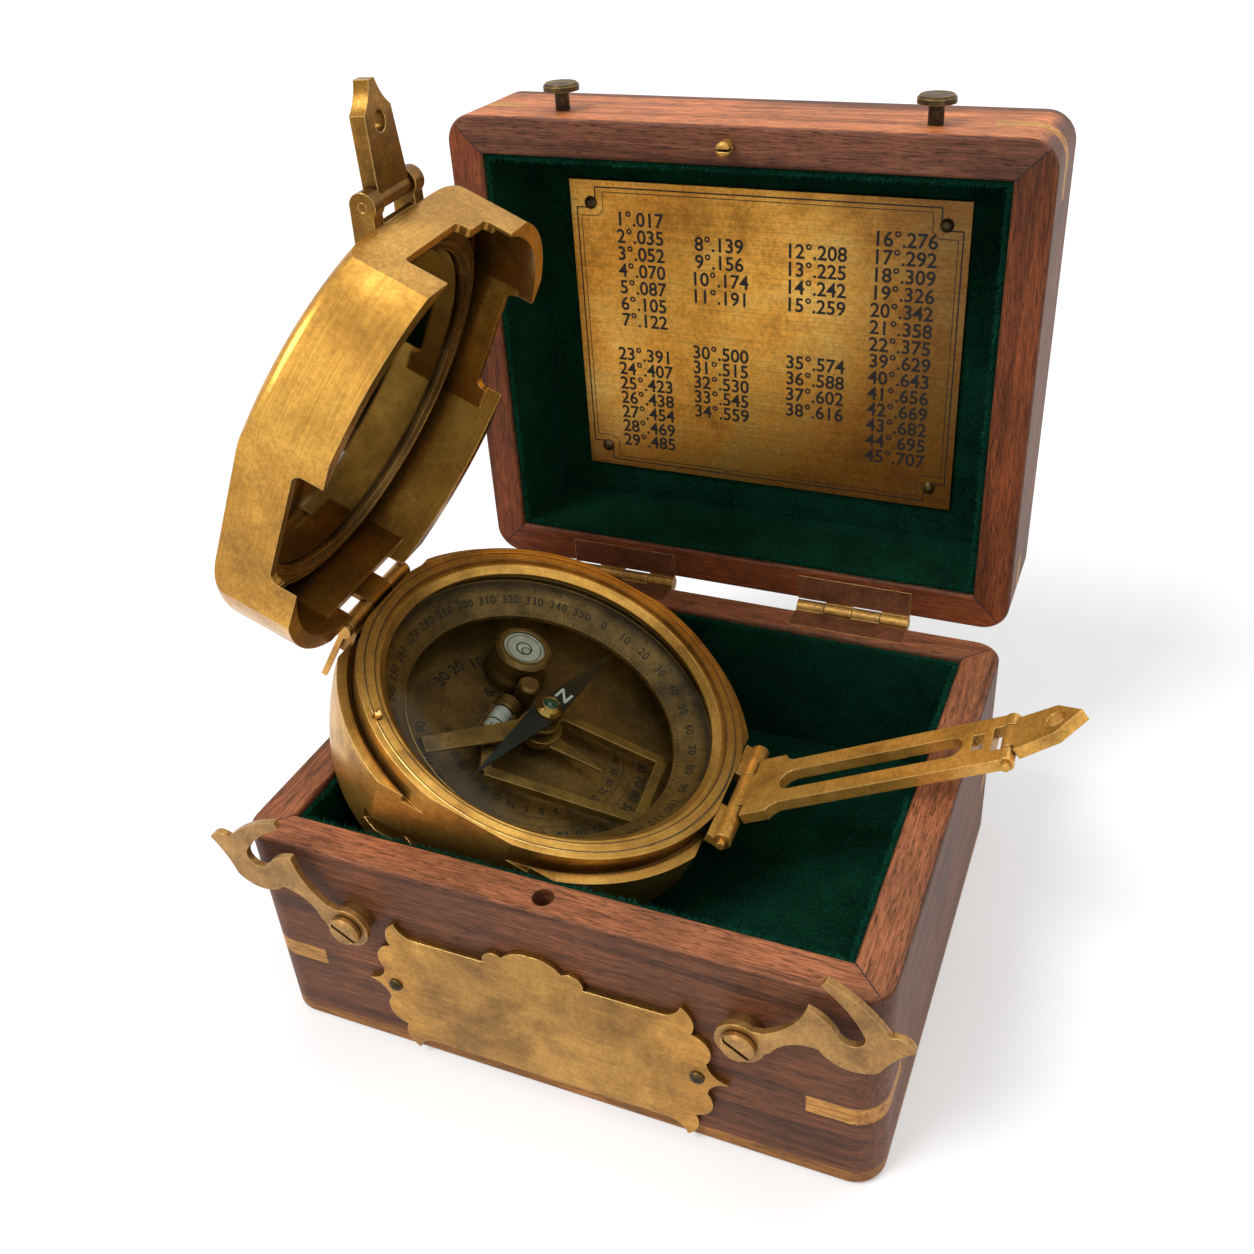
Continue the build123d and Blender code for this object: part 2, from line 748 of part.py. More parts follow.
eye_section = plane_in(compass, (eye_u, eye_v, 0), (1, 0, 0), (0, -1, 0))
eye_axis = Axis(eye_section.origin, compass.z_dir)
eye_seat = eye_top - eye_glass_drop
eye_collar = scale_top + eye_foot_height
with BuildPart() as bulls_eye_housing:
    turned_piece(eye_section, eye_axis,
                 [(0, scale_top), (eye_foot_radius, scale_top), (eye_foot_radius, eye_collar),
                  (eye_radius, eye_collar + eye_foot_slope), (eye_radius, eye_top - eye_rim),
                  (eye_radius - eye_rim, eye_top),
                  (eye_bore, eye_top), (eye_bore, eye_seat), (0, eye_seat)])
write(bulls_eye_housing, "bulls_eye_housing")

with BuildPart() as bulls_eye_glass:
    with BuildSketch(compass.offset(eye_seat)):
        with Locations((eye_u, eye_v)):
            Circle(eye_bore)
    extrude(amount=eye_glass)
write(bulls_eye_glass, "bulls_eye_glass")

with BuildPart() as level_boss:
    with BuildSketch(compass.offset(scale_top)):
        with Locations((boss_u, boss_v)):
            Circle(boss_radius)
    extrude(amount=boss_top - scale_top)
    chamfer(level_boss.faces().sort_by(compass_axis)[-1].edges(), boss_chamfer)
write(level_boss, "level_boss")

with BuildPart() as pivot_post:
    turned_piece(compass_section, compass_axis,
                 [(0, scale_top), (2 * post_radius, scale_top), (2 * post_radius, scale_top + post_foot),
                  (post_radius, scale_top + post_foot), (post_radius, post_top - post_point), (0, post_top)])
write(pivot_post, "pivot_post")

# Needle with its cap
needle_spin = radians(needle_turn)
needle_plane = plane_in(compass, (0, 0, needle_height), (cos(needle_spin), sin(needle_spin), 0), (0, 0, 1))
with BuildPart() as needle:
    with BuildSketch(needle_plane):
        Polygon((needle_length, 0), (0, needle_half_width), (-needle_length, 0), (0, -needle_half_width))
        Circle(cap_radius)
        Circle(post_radius, mode=Mode.SUBTRACT)
    extrude(amount=needle_thickness)
write(needle, "needle")

cap_foot = needle_height + needle_thickness
with BuildPart() as needle_cap:
    turned_piece(compass_section, compass_axis,
                 [(0, cap_foot), (cap_radius, cap_foot), (cap_radius, cap_foot + 0.6),
                  (cap_radius - 0.5, cap_foot + 1.4), (jewel_radius, cap_foot + cap_height - 0.5),
                  (jewel_radius, cap_foot + 1.2), (0, cap_foot + 1.2)])
write(needle_cap, "needle_cap")

with BuildPart() as cap_jewel:
    turned_piece(compass_section, compass_axis,
                 [(0, cap_foot + 1.2), (jewel_radius, cap_foot + 1.2), (jewel_radius, cap_foot + 1.8),
                  (jewel_radius * 0.6, cap_foot + 2.2), (0, cap_foot + 2.4)])
write(cap_jewel, "cap_jewel")

# Needle lifter and the pin that works it
with BuildPart() as needle_lifter:
    with BuildSketch(compass.offset(lifter_height)):
        Polygon((-18.6, -20.2), (-16.0, -22.9), (-2.0, -7.6), (1.4, -2.6), (-1.6, 1.0), (-5.4, -4.6),
                align=None)
        Circle(3.4)
        Circle(post_radius + 0.5, mode=Mode.SUBTRACT)
    extrude(amount=lifter_thickness)
write(needle_lifter, "needle_lifter")

with BuildPart() as lift_pin:
    with BuildSketch(compass.offset(-ledge_drop)):
        with Locations((lift_pin_u, lift_pin_v)):
            Circle(lift_pin_radius)
    extrude(amount=ledge_drop + lift_pin_rise)
    fillet(lift_pin.faces().sort_by(compass_axis)[-1].edges(), lift_pin_radius / 2)
write(lift_pin, "lift_pin")


def bar(start, end, width):
    """Flat bar between two points of the open sketch, ends rounded."""
    with BuildLine() as path:
        Line(start, end)
    trace(path.line, line_width=width)


# Clinometer frame with its tube vial
with BuildPart() as clinometer_frame:
    with BuildSketch(compass.offset(frame_height)):
        Circle(frame_hub)
        bar((2.6, 6.0), (26.2, 8.6), frame_bar)
        bar((26.2, 8.6), (27.4, -9.2), frame_bar)
        bar((27.4, -9.2), (-4.4, -17.6), frame_bar)
        bar((-4.4, -17.6), (-8.4, -8.0), frame_bar)
        bar((-8.4, -8.0), (0, 0), frame_bar)
        bar((2.6, 6.0), (0, 0), frame_bar)
        Circle(post_radius + frame_play, mode=Mode.SUBTRACT)
    extrude(amount=frame_thickness)
    with BuildSketch(compass.offset(frame_height)):
        Polygon((3.8, -2.4), (16.0, -1.2), (4.4, 1.2), align=None)
    extrude(amount=pointer_thickness)
    vial_plane = plane_in(compass, (vial_u, vial_low, vial_centre), (1, 0, 0), (0, 1, 0))
    with BuildSketch(vial_plane):
        Circle(vial_radius)
    extrude(amount=vial_high - vial_low, mode=Mode.SUBTRACT)
write(clinometer_frame, "clinometer_frame")

with BuildPart() as vial_holder:
    with BuildSketch(vial_plane):
        Circle(vial_holder_radius)
        Circle(vial_radius, mode=Mode.SUBTRACT)
    extrude(amount=vial_high - vial_low)
    window_mid = (vial_low + vial_high) / 2 + vial_window_shift
    with BuildSketch(compass.offset(vial_centre + vial_window_rise)):
        with Locations((vial_u, window_mid)):
            Rectangle(2 * vial_holder_radius, vial_window)
    extrude(amount=vial_holder_radius, mode=Mode.SUBTRACT)
    add(clinometer_frame.part, mode=Mode.SUBTRACT)
write(vial_holder, "vial_holder")

with BuildPart() as tube_vial:
    with BuildSketch(vial_plane):
        Circle(vial_radius)
    extrude(amount=vial_high - vial_low)
write(tube_vial, "tube_vial")


def knuckle(frame, u, n, low, high, bore):
    """Hinge knuckle along v in the open part."""
    with BuildSketch(plane_in(frame, (u, low, n), (1, 0, 0), (0, 1, 0))) as barrel:
        Circle(case_barrel)
    extrude(barrel.sketch, amount=high - low)
    with BuildSketch(plane_in(frame, (u, low, n), (1, 0, 0), (0, 1, 0))) as hole:
        Circle(case_pin + bore)
    extrude(hole.sketch, amount=high - low, mode=Mode.SUBTRACT)


def case_leaf_block(u_from, u_to, v_from, v_to, n_from, n_to):
    """Small plate of a compass hinge leaf in the open part."""
    with BuildSketch(compass.offset(n_from)) as block:
        with Locations(((u_from + u_to) / 2, (v_from + v_to) / 2)):
            Rectangle(abs(u_to - u_from), v_to - v_from)
    extrude(block.sketch, amount=n_to - n_from)


# Knuckle ends along v: outer two of each hinge sit on the case
lid_split = lid_hinge_half / 3 + knuckle_gap / 2
arm_split_low = -5.2
arm_split_high = 4.0
with BuildPart() as case_hinge_leaves:
    for low, high in ((-lid_hinge_half, -lid_split - knuckle_gap), (lid_split + knuckle_gap, lid_hinge_half)):
        case_leaf_block(-flat_half, lid_hinge_u, low, high, lid_hinge_n - 6, lid_hinge_n)
        knuckle(compass, lid_hinge_u, lid_hinge_n, low, high, 0)
    for low, high in ((arm_hinge_low, arm_split_low - knuckle_gap), (arm_split_high + knuckle_gap, arm_hinge_high)):
        case_leaf_block(flat_half, arm_hinge_u, low, high, arm_hinge_n - 2.2, arm_hinge_n)
        knuckle(compass, arm_hinge_u, arm_hinge_n, low, high, 0)
write(case_hinge_leaves, "case_hinge_leaves")

stop_face = -lid_hinge_half - stop_gap
with BuildPart() as lid_stop_strip:
    with BuildSketch(plane_in(compass, (lid_hinge_u, stop_face, lid_hinge_n), (1, 0, 0), (0, -1, 0))):
        Circle(stop_head)
        bar((0, 0), (stop_end_u, stop_end_n), stop_width)
        Circle(case_pin, mode=Mode.SUBTRACT)
    extrude(amount=stop_thickness)
write(lid_stop_strip, "lid_stop_strip")

with BuildPart() as case_hinge_pins:
    for u, n, low, high in ((lid_hinge_u, lid_hinge_n, stop_face - stop_thickness, lid_hinge_half),
                            (arm_hinge_u, arm_hinge_n, arm_hinge_low - 1.4, arm_hinge_high)):
        with BuildSketch(plane_in(compass, (u, low, n), (1, 0, 0), (0, 1, 0))):
            Circle(case_pin)
        extrude(amount=high - low)
write(case_hinge_pins, "case_hinge_pins")

# Mirror lid, drawn in its own frame where it would be shut on the case
mouth = -ledge_drop + lid_seat_gap
lid_top = mouth + skirt_depth
with BuildPart() as mirror_lid_shell:
    with BuildSketch(mirror_section):
        with BuildLine():
            Polyline((0, mouth), (ledge_radius, mouth), (ledge_radius, lid_top - lid_rim_round))
            RadiusArc((ledge_radius, lid_top - lid_rim_round), (ledge_radius - lid_rim_round, lid_top),
                      -lid_rim_round)
            Polyline((ledge_radius - lid_rim_round, lid_top), (0, lid_top), (0, mouth))
        make_face()
    revolve(axis=mirror_axis)
    cut_flats(mirror_frame, flat_half, mouth - 1, lid_top + 1)
    with BuildSketch(mirror_frame.offset(mouth)):
        Circle(skirt_inner)
    extrude(amount=lid_seat_gap - mouth, mode=Mode.SUBTRACT)
    with BuildSketch(mirror_frame.offset(lid_seat_gap)):
        Circle(skirt_inner)
        Rectangle(2 * (flat_half - skirt_flat_wall), 2 * (flat_half - skirt_flat_wall), mode=Mode.INTERSECT)
    extrude(amount=lid_top - lid_plate - lid_seat_gap, mode=Mode.SUBTRACT)
    # Stepped notch for the arm in the far flat, and a notch in each side flat
    with BuildSketch(plane_in(mirror_frame, (flat_half, 0, mouth), (0, 1, 0), (1, 0, 0))) as arm_notch:
        Polygon((-mouth_notch_half, -mouth_step), (-mouth_notch_half, mouth_notch_depth),
                (mouth_step_start, mouth_notch_depth), (mouth_step_start, mouth_step),
                (mouth_notch_half, mouth_step), (mouth_notch_half, -mouth_step), align=None)
        fillet(arm_notch.vertices(), notch_round / 2)
    extrude(amount=3 * skirt_flat_wall, both=True, mode=Mode.SUBTRACT)
    for s in (-1, 1):
        middle = (side_notch_low + side_notch_high) / 2
        with BuildSketch(plane_in(mirror_frame, (middle, s * flat_half, mouth), (s, 0, 0), (0, s, 0))) as notch:
            Rectangle(side_notch_high - side_notch_low, 2 * side_notch_depth)
            fillet(notch.vertices(), notch_round)
        extrude(amount=2 * skirt_flat_wall, both=True, mode=Mode.SUBTRACT)
    # Middle knuckle and its tab on the hinge side
    with BuildSketch(mirror_frame.offset(lid_hinge_n)):
        with Locations((-flat_half - 0.2 - case_leaf / 2, 0)):
            Rectangle(case_leaf, 2 * lid_split)
    extrude(amount=8)
    with BuildSketch(mirror_frame.offset(1.2)):
        with Locations((-flat_half, 0)):
            Rectangle(2 * case_leaf, 2 * lid_split)
    extrude(amount=8 + lid_hinge_n - 1.2)
    with BuildSketch(plane_in(mirror_frame, (lid_hinge_u, -lid_split, lid_hinge_n), (1, 0, 0), (0, 1, 0))):
        Circle(case_barrel)
    extrude(amount=2 * lid_split)
    with BuildSketch(plane_in(mirror_frame, (lid_hinge_u, -lid_split, lid_hinge_n), (1, 0, 0), (0, 1, 0))):
        Circle(case_pin + case_pin_clearance)
    extrude(amount=2 * lid_split, mode=Mode.SUBTRACT)
write(mirror_lid_shell, "mirror_lid_shell")

ceiling = lid_top - lid_plate
with BuildPart() as mirror:
    with BuildSketch(mirror_frame.offset(ceiling)):
        Circle(mirror_radius)
    extrude(amount=-mirror_thickness)
write(mirror, "mirror")

with BuildPart() as mirror_ring:
    turned_piece(mirror_section, mirror_axis,
                 [(mirror_radius, ceiling), (mirror_ring_outer, ceiling),
                  (mirror_ring_outer, ceiling - mirror_ring_height + 0.8),
                  (mirror_radius + 1.4, ceiling - mirror_ring_height),
                  (mirror_radius, ceiling - mirror_thickness - 0.4)])
write(mirror_ring, "mirror_ring")

# Bracket of the small sight on the lid's back, with two ears
ear_half = leaf_width / 2 + ear_gap
with BuildPart() as sight_bracket:
    with BuildSketch(mirror_frame.offset(lid_top)):
        with Locations((flat_half - bracket_length / 2, 0)):
            Rectangle(bracket_length, 2 * (ear_half + ear_thickness))
        with Locations((flat_half - bracket_tongue / 2, 0)):
            Rectangle(bracket_tongue, leaf_width * 0.6)
    extrude(amount=bracket_plate)
    for s in (-1, 1):
        with BuildSketch(plane_in(mirror_frame, (0, s * (ear_half + ear_thickness / 2), 0),
                                  (1, 0, 0), (0, -1, 0))):
            Polygon((flat_half - ear_foot, lid_top), (flat_half, lid_top),
                    (bracket_u + 0.94 * ear_round, bracket_n - 0.34 * ear_round),
                    (bracket_u - 0.26 * ear_round, bracket_n + 0.96 * ear_round), align=None)
            with Locations((bracket_u, bracket_n)):
                Circle(ear_round)
                Circle(sight_pin, mode=Mode.SUBTRACT)
        extrude(amount=ear_thickness / 2, both=True)
write(sight_bracket, "sight_bracket")

with BuildPart() as sight_pin_rod:
    with BuildSketch(plane_in(mirror_frame, (bracket_u, -ear_half - ear_thickness, bracket_n),
                              (1, 0, 0), (0, 1, 0))):
        Circle(sight_pin)
    extrude(amount=2 * (ear_half + ear_thickness))
write(sight_pin_rod, "sight_pin_rod")

with BuildPart() as small_sight_leaf:
    with BuildSketch(leaf_frame):
        with BuildLine():
            Polyline((leaf_shoulder, leaf_shoulder_half), (0, leaf_width / 2), (0, -leaf_width / 2),
                     (leaf_shoulder, -leaf_shoulder_half))
            RadiusArc((leaf_shoulder, -leaf_shoulder_half), (leaf_length, -leaf_tip_half), leaf_length / 2)
            Line((leaf_length, -leaf_tip_half), (leaf_length, leaf_tip_half))
            RadiusArc((leaf_length, leaf_tip_half), (leaf_shoulder, leaf_shoulder_half), leaf_length / 2)
        make_face()
        with Locations((leaf_shoulder - leaf_hole, 0)):
            Circle(leaf_hole, mode=Mode.SUBTRACT)
    extrude(amount=leaf_metal / 2, both=True)
    with BuildSketch(plane_in(leaf_frame, (0, -leaf_width / 2, 0), (1, 0, 0), (0, 1, 0))):
        Circle(leaf_eye)
    extrude(amount=leaf_width)
    with BuildSketch(plane_in(leaf_frame, (0, -leaf_width / 2, 0), (1, 0, 0), (0, 1, 0))):
        Circle(sight_pin + case_pin_clearance)
    extrude(amount=leaf_width, mode=Mode.SUBTRACT)
write(small_sight_leaf, "small_sight_leaf")

# Long sight arm with slot and window
fork_start = arm_joint - arm_fork
with BuildPart() as long_sight_arm:
    with BuildSketch(arm_frame.offset(-arm_metal / 2)):
        for s in (-1, 1):
            with BuildLine():
                Polyline((arm_root_start, 0), (arm_root_start, s * arm_root_width / 2),
                         (arm_root_end, s * arm_root_width / 2))
                ThreePointArc((arm_root_end, s * arm_root_width / 2),
                              (arm_root_end + 0.3 * (arm_waist_end - arm_root_end),
                               s * (0.7 * arm_width + 0.3 * arm_root_width) / 2),
                              (arm_waist_end, s * arm_width / 2))
                Polyline((arm_waist_end, s * arm_width / 2), (fork_start, s * arm_width / 2),
                         (fork_start, 0), (arm_root_start, 0))
            make_face()
        with Locations(((fork_start + arm_joint) / 2, 0)):
            with GridLocations(0, arm_width - arm_fork_width, 1, 2):
                Rectangle(arm_fork, arm_fork_width)
        with Locations((arm_root_start / 2, (arm_split_low + arm_split_high) / 2)):
            Rectangle(arm_root_start, arm_split_high - arm_split_low)
        with Locations(((slot_start + slot_end) / 2, 0)):
            SlotCenterToCenter(slot_end - slot_start, 2 * slot_half, mode=Mode.SUBTRACT)
        with Locations((window_x, 0)):
            Rectangle(window_long, window_wide, mode=Mode.SUBTRACT)
    extrude(amount=arm_metal)
    for low, high in ((-arm_width / 2, -arm_width / 2 + arm_fork_width),
                      (arm_width / 2 - arm_fork_width, arm_width / 2)):
        with BuildSketch(plane_in(arm_frame, (arm_joint, low, 0), (1, 0, 0), (0, 1, 0))):
            Circle(joint_barrel)
        extrude(amount=high - low)
    with BuildSketch(plane_in(arm_frame, (0, arm_split_low, 0), (1, 0, 0), (0, 1, 0))):
        Circle(case_barrel)
    extrude(amount=arm_split_high - arm_split_low)
    with BuildSketch(plane_in(arm_frame, (0, arm_split_low, 0), (1, 0, 0), (0, 1, 0))):
        Circle(case_pin + case_pin_clearance)
    extrude(amount=arm_split_high - arm_split_low, mode=Mode.SUBTRACT)
    with BuildSketch(plane_in(arm_frame, (arm_joint, -arm_width / 2, 0), (1, 0, 0), (0, 1, 0))):
        Circle(sight_pin)
    extrude(amount=arm_width, mode=Mode.SUBTRACT)
write(long_sight_arm, "long_sight_arm")

with BuildPart() as tip_pin:
    with BuildSketch(plane_in(arm_frame, (arm_joint, -arm_width / 2 - 1.2, 0), (1, 0, 0), (0, 1, 0))):
        Circle(sight_pin)
    extrude(amount=arm_width + 1.2)
write(tip_pin, "tip_pin")

tip_half = arm_width / 2 - arm_fork_width - tip_gap
tip_wing = joint_barrel + tip_gap
with BuildPart() as peep_tip:
    with BuildSketch(tip_frame.offset(-arm_metal / 2)):
        Polygon((0, -tip_half), (tip_wing, -tip_half), (tip_wing, -tip_half - 1.6),
                (tip_shoulder, -tip_half - 1.0), (tip_length, 0), (tip_shoulder, tip_half + 1.0),
                (tip_wing, tip_half + 1.6), (tip_wing, tip_half), (0, tip_half), align=None)
        with Locations((tip_shoulder, 0)):
            Circle(tip_hole, mode=Mode.SUBTRACT)
    extrude(amount=arm_metal)
    with BuildSketch(plane_in(tip_frame, (0, -tip_half, 0), (1, 0, 0), (0, 1, 0))):
        Circle(joint_barrel)
    extrude(amount=2 * tip_half)
    with BuildSketch(plane_in(tip_frame, (0, -tip_half, 0), (1, 0, 0), (0, 1, 0))):
        Circle(sight_pin + case_pin_clearance)
    extrude(amount=2 * tip_half, mode=Mode.SUBTRACT)
write(peep_tip, "peep_tip")
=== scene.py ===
import json
import math
import random

import bpy
from mathutils import Matrix, Vector


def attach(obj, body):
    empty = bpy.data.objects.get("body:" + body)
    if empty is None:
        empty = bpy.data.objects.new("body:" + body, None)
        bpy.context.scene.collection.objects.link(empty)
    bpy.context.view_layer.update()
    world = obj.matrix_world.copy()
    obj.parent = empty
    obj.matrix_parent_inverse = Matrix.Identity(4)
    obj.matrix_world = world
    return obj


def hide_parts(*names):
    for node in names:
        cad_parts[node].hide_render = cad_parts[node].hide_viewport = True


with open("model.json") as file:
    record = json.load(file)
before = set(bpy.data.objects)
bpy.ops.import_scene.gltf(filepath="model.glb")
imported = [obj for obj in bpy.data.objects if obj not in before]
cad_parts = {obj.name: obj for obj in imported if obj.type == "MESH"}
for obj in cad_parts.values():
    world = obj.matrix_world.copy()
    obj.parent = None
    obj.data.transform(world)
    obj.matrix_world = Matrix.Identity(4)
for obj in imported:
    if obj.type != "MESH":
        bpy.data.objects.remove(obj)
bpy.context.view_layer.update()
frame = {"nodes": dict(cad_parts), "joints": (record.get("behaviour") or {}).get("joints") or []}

MM = 0.001

# Sizes of the real box and compass, in millimetres, as the solids have them
inner_half_x, inner_half_y = 54.7, 44.2
outer_half_x, outer_half_y = 62.5, 52.0
rim_height, rim_gap = 49.0, 0.3
table_face = 20.2
table_half_x, table_half_y = 44.75, 34.75
dial_inner, dial_outer = 29.3, 36.2
dial_inner_drop, dial_outer_drop = 9.6, 5.4
scale_drop = 17.0
needle_drop, needle_thickness, needle_turn = 7.2, 0.5, 78.0
eye_u, eye_v, eye_glass_top = -12.0, 14.6, -9.0
vial_u, vial_v, vial_centre, vial_radius = -8.4, -4.6, -13.9, 2.1
mirror_u, mirror_rise = -45.3, 39.9
nameplate_x, nameplate_z = -1.5, 19.4


def colour(code):
    """sRGB hex such as #7a4638 as a linear RGBA value."""
    parts = [int(code[i:i + 2], 16) / 255 for i in (1, 3, 5)]
    return [c / 12.92 if c <= 0.04045 else ((c + 0.055) / 1.055) ** 2.4 for c in parts] + [1.0]


def node(tree, kind, settings=None, links=None):
    """Adds a node with its settings; a value that is a socket is linked, any other is set."""
    new = tree.nodes.new("ShaderNode" + kind)
    for name, value in (settings or {}).items():
        if name == "stops":
            ramp = new.color_ramp.elements
            while len(ramp) < len(value):
                ramp.new(0.5)
            for stop, (place, tone) in zip(ramp, value):
                stop.position, stop.color = place, tone
        else:
            setattr(new, name, value)
    for name, value in (links or {}).items():
        if isinstance(value, bpy.types.NodeSocket):
            tree.links.new(value, new.inputs[name])
        else:
            new.inputs[name].default_value = value
    return new


def new_material(name):
    """An empty material, its tree and its output node."""
    material = bpy.data.materials.new(name)
    material.use_nodes = True
    tree = material.node_tree
    tree.nodes.clear()
    return material, tree, node(tree, "OutputMaterial")


def grey(level):
    """Linear grey, also used as a factor that a colour is multiplied by."""
    return [level, level, level, 1]


def placed(origin, x, y, z):
    """Matrix of a frame with its origin at a point."""
    return Matrix.Translation(origin) @ Matrix((x, y, z)).transposed().to_4x4()


# Frames: the dial (x towards the long sight, z out of the glass), its mirror lid, and the open box lid
joints = {joint["name"]: joint for joint in frame["joints"]}


def joint_axis(name):
    """Direction that a joint turns about at rest."""
    return Vector(joints[name]["axis"]).normalized()


dial_up = joint_axis("needle")
dial_y = -joint_axis("long_sight")
dial_x = dial_y.cross(dial_up)
dial = placed(Vector(joints["needle"]["pos_m"]) + needle_drop * MM * dial_up, dial_x, dial_y, dial_up)
mirror_frame = dial @ placed(Vector((mirror_u, 0, mirror_rise)) * MM,
                             Vector((0, 0, 1)), Vector((0, 1, 0)), Vector((-1, 0, 0)))
hinge = Vector(joints["box_lid"]["pos_m"])
lid_angle = math.radians(joints["box_lid"]["range_deg"][1])
lid_z = Vector((0, math.sin(lid_angle), math.cos(lid_angle)))
lid_y = Vector((0, math.cos(lid_angle), -math.sin(lid_angle)))
right = Vector((1, 0, 0))
lid = placed(hinge - hinge.y * lid_y, right, lid_y, lid_z)
# The lid looked at from its mouth: z comes out of the mouth and is 0 at the hinge's height
lid_mouth = lid @ placed(Vector((0, 0, 0)), right, Vector((0, -1, 0)), Vector((0, 0, -1)))
box = Matrix.Identity(4)


def oiled_wood(name, dark, light, pore, along, rim=None, painted_light_tint=None, band_mm=5.0, pore_mm=0.26):
    """Wood, planed and rubbed with oil: long soft bands of tone with short dark open pores along the grain.

    On the faces that look along rim, a tint multiplies the tone: painted light and shade, for how the light
    falls on those faces.
    """
    material, tree, output = new_material(name)
    coordinates = node(tree, "TexCoord")
    place = coordinates.outputs["Object"]

    def drawn_out(share):
        """Scale of a pattern that the grain draws out along one axis."""
        return [share if axis == along else 1 for axis in "XYZ"]

    band_place = node(tree, "Mapping", None, {"Vector": place, "Scale": drawn_out(0.04)})
    bands = node(tree, "TexNoise", None, {
        "Vector": band_place.outputs["Vector"], "Scale": 1 / (band_mm * MM), "Detail": 6,
        "Roughness": 0.62, "Distortion": 0.6})
    band_stops = [(0.32, colour(dark)), (0.5, colour(light)), (0.7, colour(dark))]
    tone = node(tree, "ValToRGB", {"stops": band_stops}, {"Fac": bands.outputs["Fac"]})
    # Fine fibre between the pores, drawn a little coarser than real
    fibre_mm = 0.3
    fibre_place = node(tree, "Mapping", None, {"Vector": place, "Scale": drawn_out(0.06)})
    fibre = node(tree, "TexNoise", None, {
        "Vector": fibre_place.outputs["Vector"], "Scale": 1 / (fibre_mm * MM), "Detail": 4,
        "Roughness": 0.7})
    fibre_tone = node(tree, "ValToRGB", {"stops": [(0.36, grey(0.42)), (0.64, grey(1.6))]},
                      {"Fac": fibre.outputs["Fac"]})
    pore_place = node(tree, "Mapping", None, {"Vector": place, "Scale": drawn_out(0.1)})
    pores = node(tree, "TexNoise", None, {
        "Vector": pore_place.outputs["Vector"], "Scale": 1 / (pore_mm * MM), "Detail": 3,
        "Roughness": 0.55})
    pore_mask = node(tree, "ValToRGB", {"stops": [(0.56, grey(0)), (0.65, grey(0.7))]},
                     {"Fac": pores.outputs["Fac"]})
    # Slow change of tone over a board
    cloud_mm = 26
    cloud = node(tree, "TexNoise", None, {"Vector": place, "Scale": 1 / (cloud_mm * MM), "Detail": 3})
    cloud_stops = [(0.35, [0.74, 0.72, 0.7, 1]), (0.65, [1.16, 1.08, 1.02, 1])]
    cloudy = node(tree, "ValToRGB", {"stops": cloud_stops}, {"Fac": cloud.outputs["Fac"]})
    shaded = node(tree, "Mix", {"data_type": "RGBA", "blend_type": "MULTIPLY"},
                  {"Factor": 1.0, 6: tone.outputs["Color"], 7: cloudy.outputs["Color"]})
    fibrous = node(tree, "Mix", {"data_type": "RGBA", "blend_type": "MULTIPLY"},
                   {"Factor": 0.75, 6: shaded.outputs[2], 7: fibre_tone.outputs["Color"]})
    board_tone = fibrous.outputs[2]
    # Painted light and shade: faces that look along rim are tinted for how the light falls on them
    if rim is not None:
        turn = node(tree, "VectorMath", {"operation": "DOT_PRODUCT"},
                    {0: coordinates.outputs["Normal"], 1: rim})
        on_rim = node(tree, "ValToRGB", {"stops": [(0.8, grey(0)), (0.97, grey(1))]},
                      {"Fac": turn.outputs["Value"]})
        board_tone = node(tree, "Mix", {"data_type": "RGBA", "blend_type": "MULTIPLY"},
                    {"Factor": on_rim.outputs["Color"], 6: board_tone, 7: painted_light_tint}).outputs[2]
    full = node(tree, "Mix", {"data_type": "RGBA"},
                {"Factor": pore_mask.outputs["Color"], 6: board_tone, 7: colour(pore)})
    gloss = node(tree, "MapRange", None, {"Value": bands.outputs["Fac"], "To Min": 0.44, "To Max": 0.6})
    height = node(tree, "Math", {"operation": "SUBTRACT"},
                  {0: fibre.outputs["Fac"], 1: pore_mask.outputs["Color"]})
    pore_depth, edge_radius = 0.06 * MM, 0.4 * MM
    relief = node(tree, "Bump", None, {
        "Height": height.outputs[0], "Strength": 0.5, "Distance": pore_depth})
    soft_edge = node(tree, "Bevel", {"samples": 4}, {
        "Radius": edge_radius, "Normal": relief.outputs["Normal"]})
    shader = node(tree, "BsdfPrincipled", None, {
        "Base Color": full.outputs[2], "Roughness": gloss.outputs[0],
        "Normal": soft_edge.outputs["Normal"], "Specular IOR Level": 0.22})
    tree.links.new(shader.outputs[0], output.inputs["Surface"])
    return material


# Brass that hands have rubbed bright on every edge, and painted brighter still as the highlights that edges
# catch
rubbed_and_glint_tone = "#ecc274"


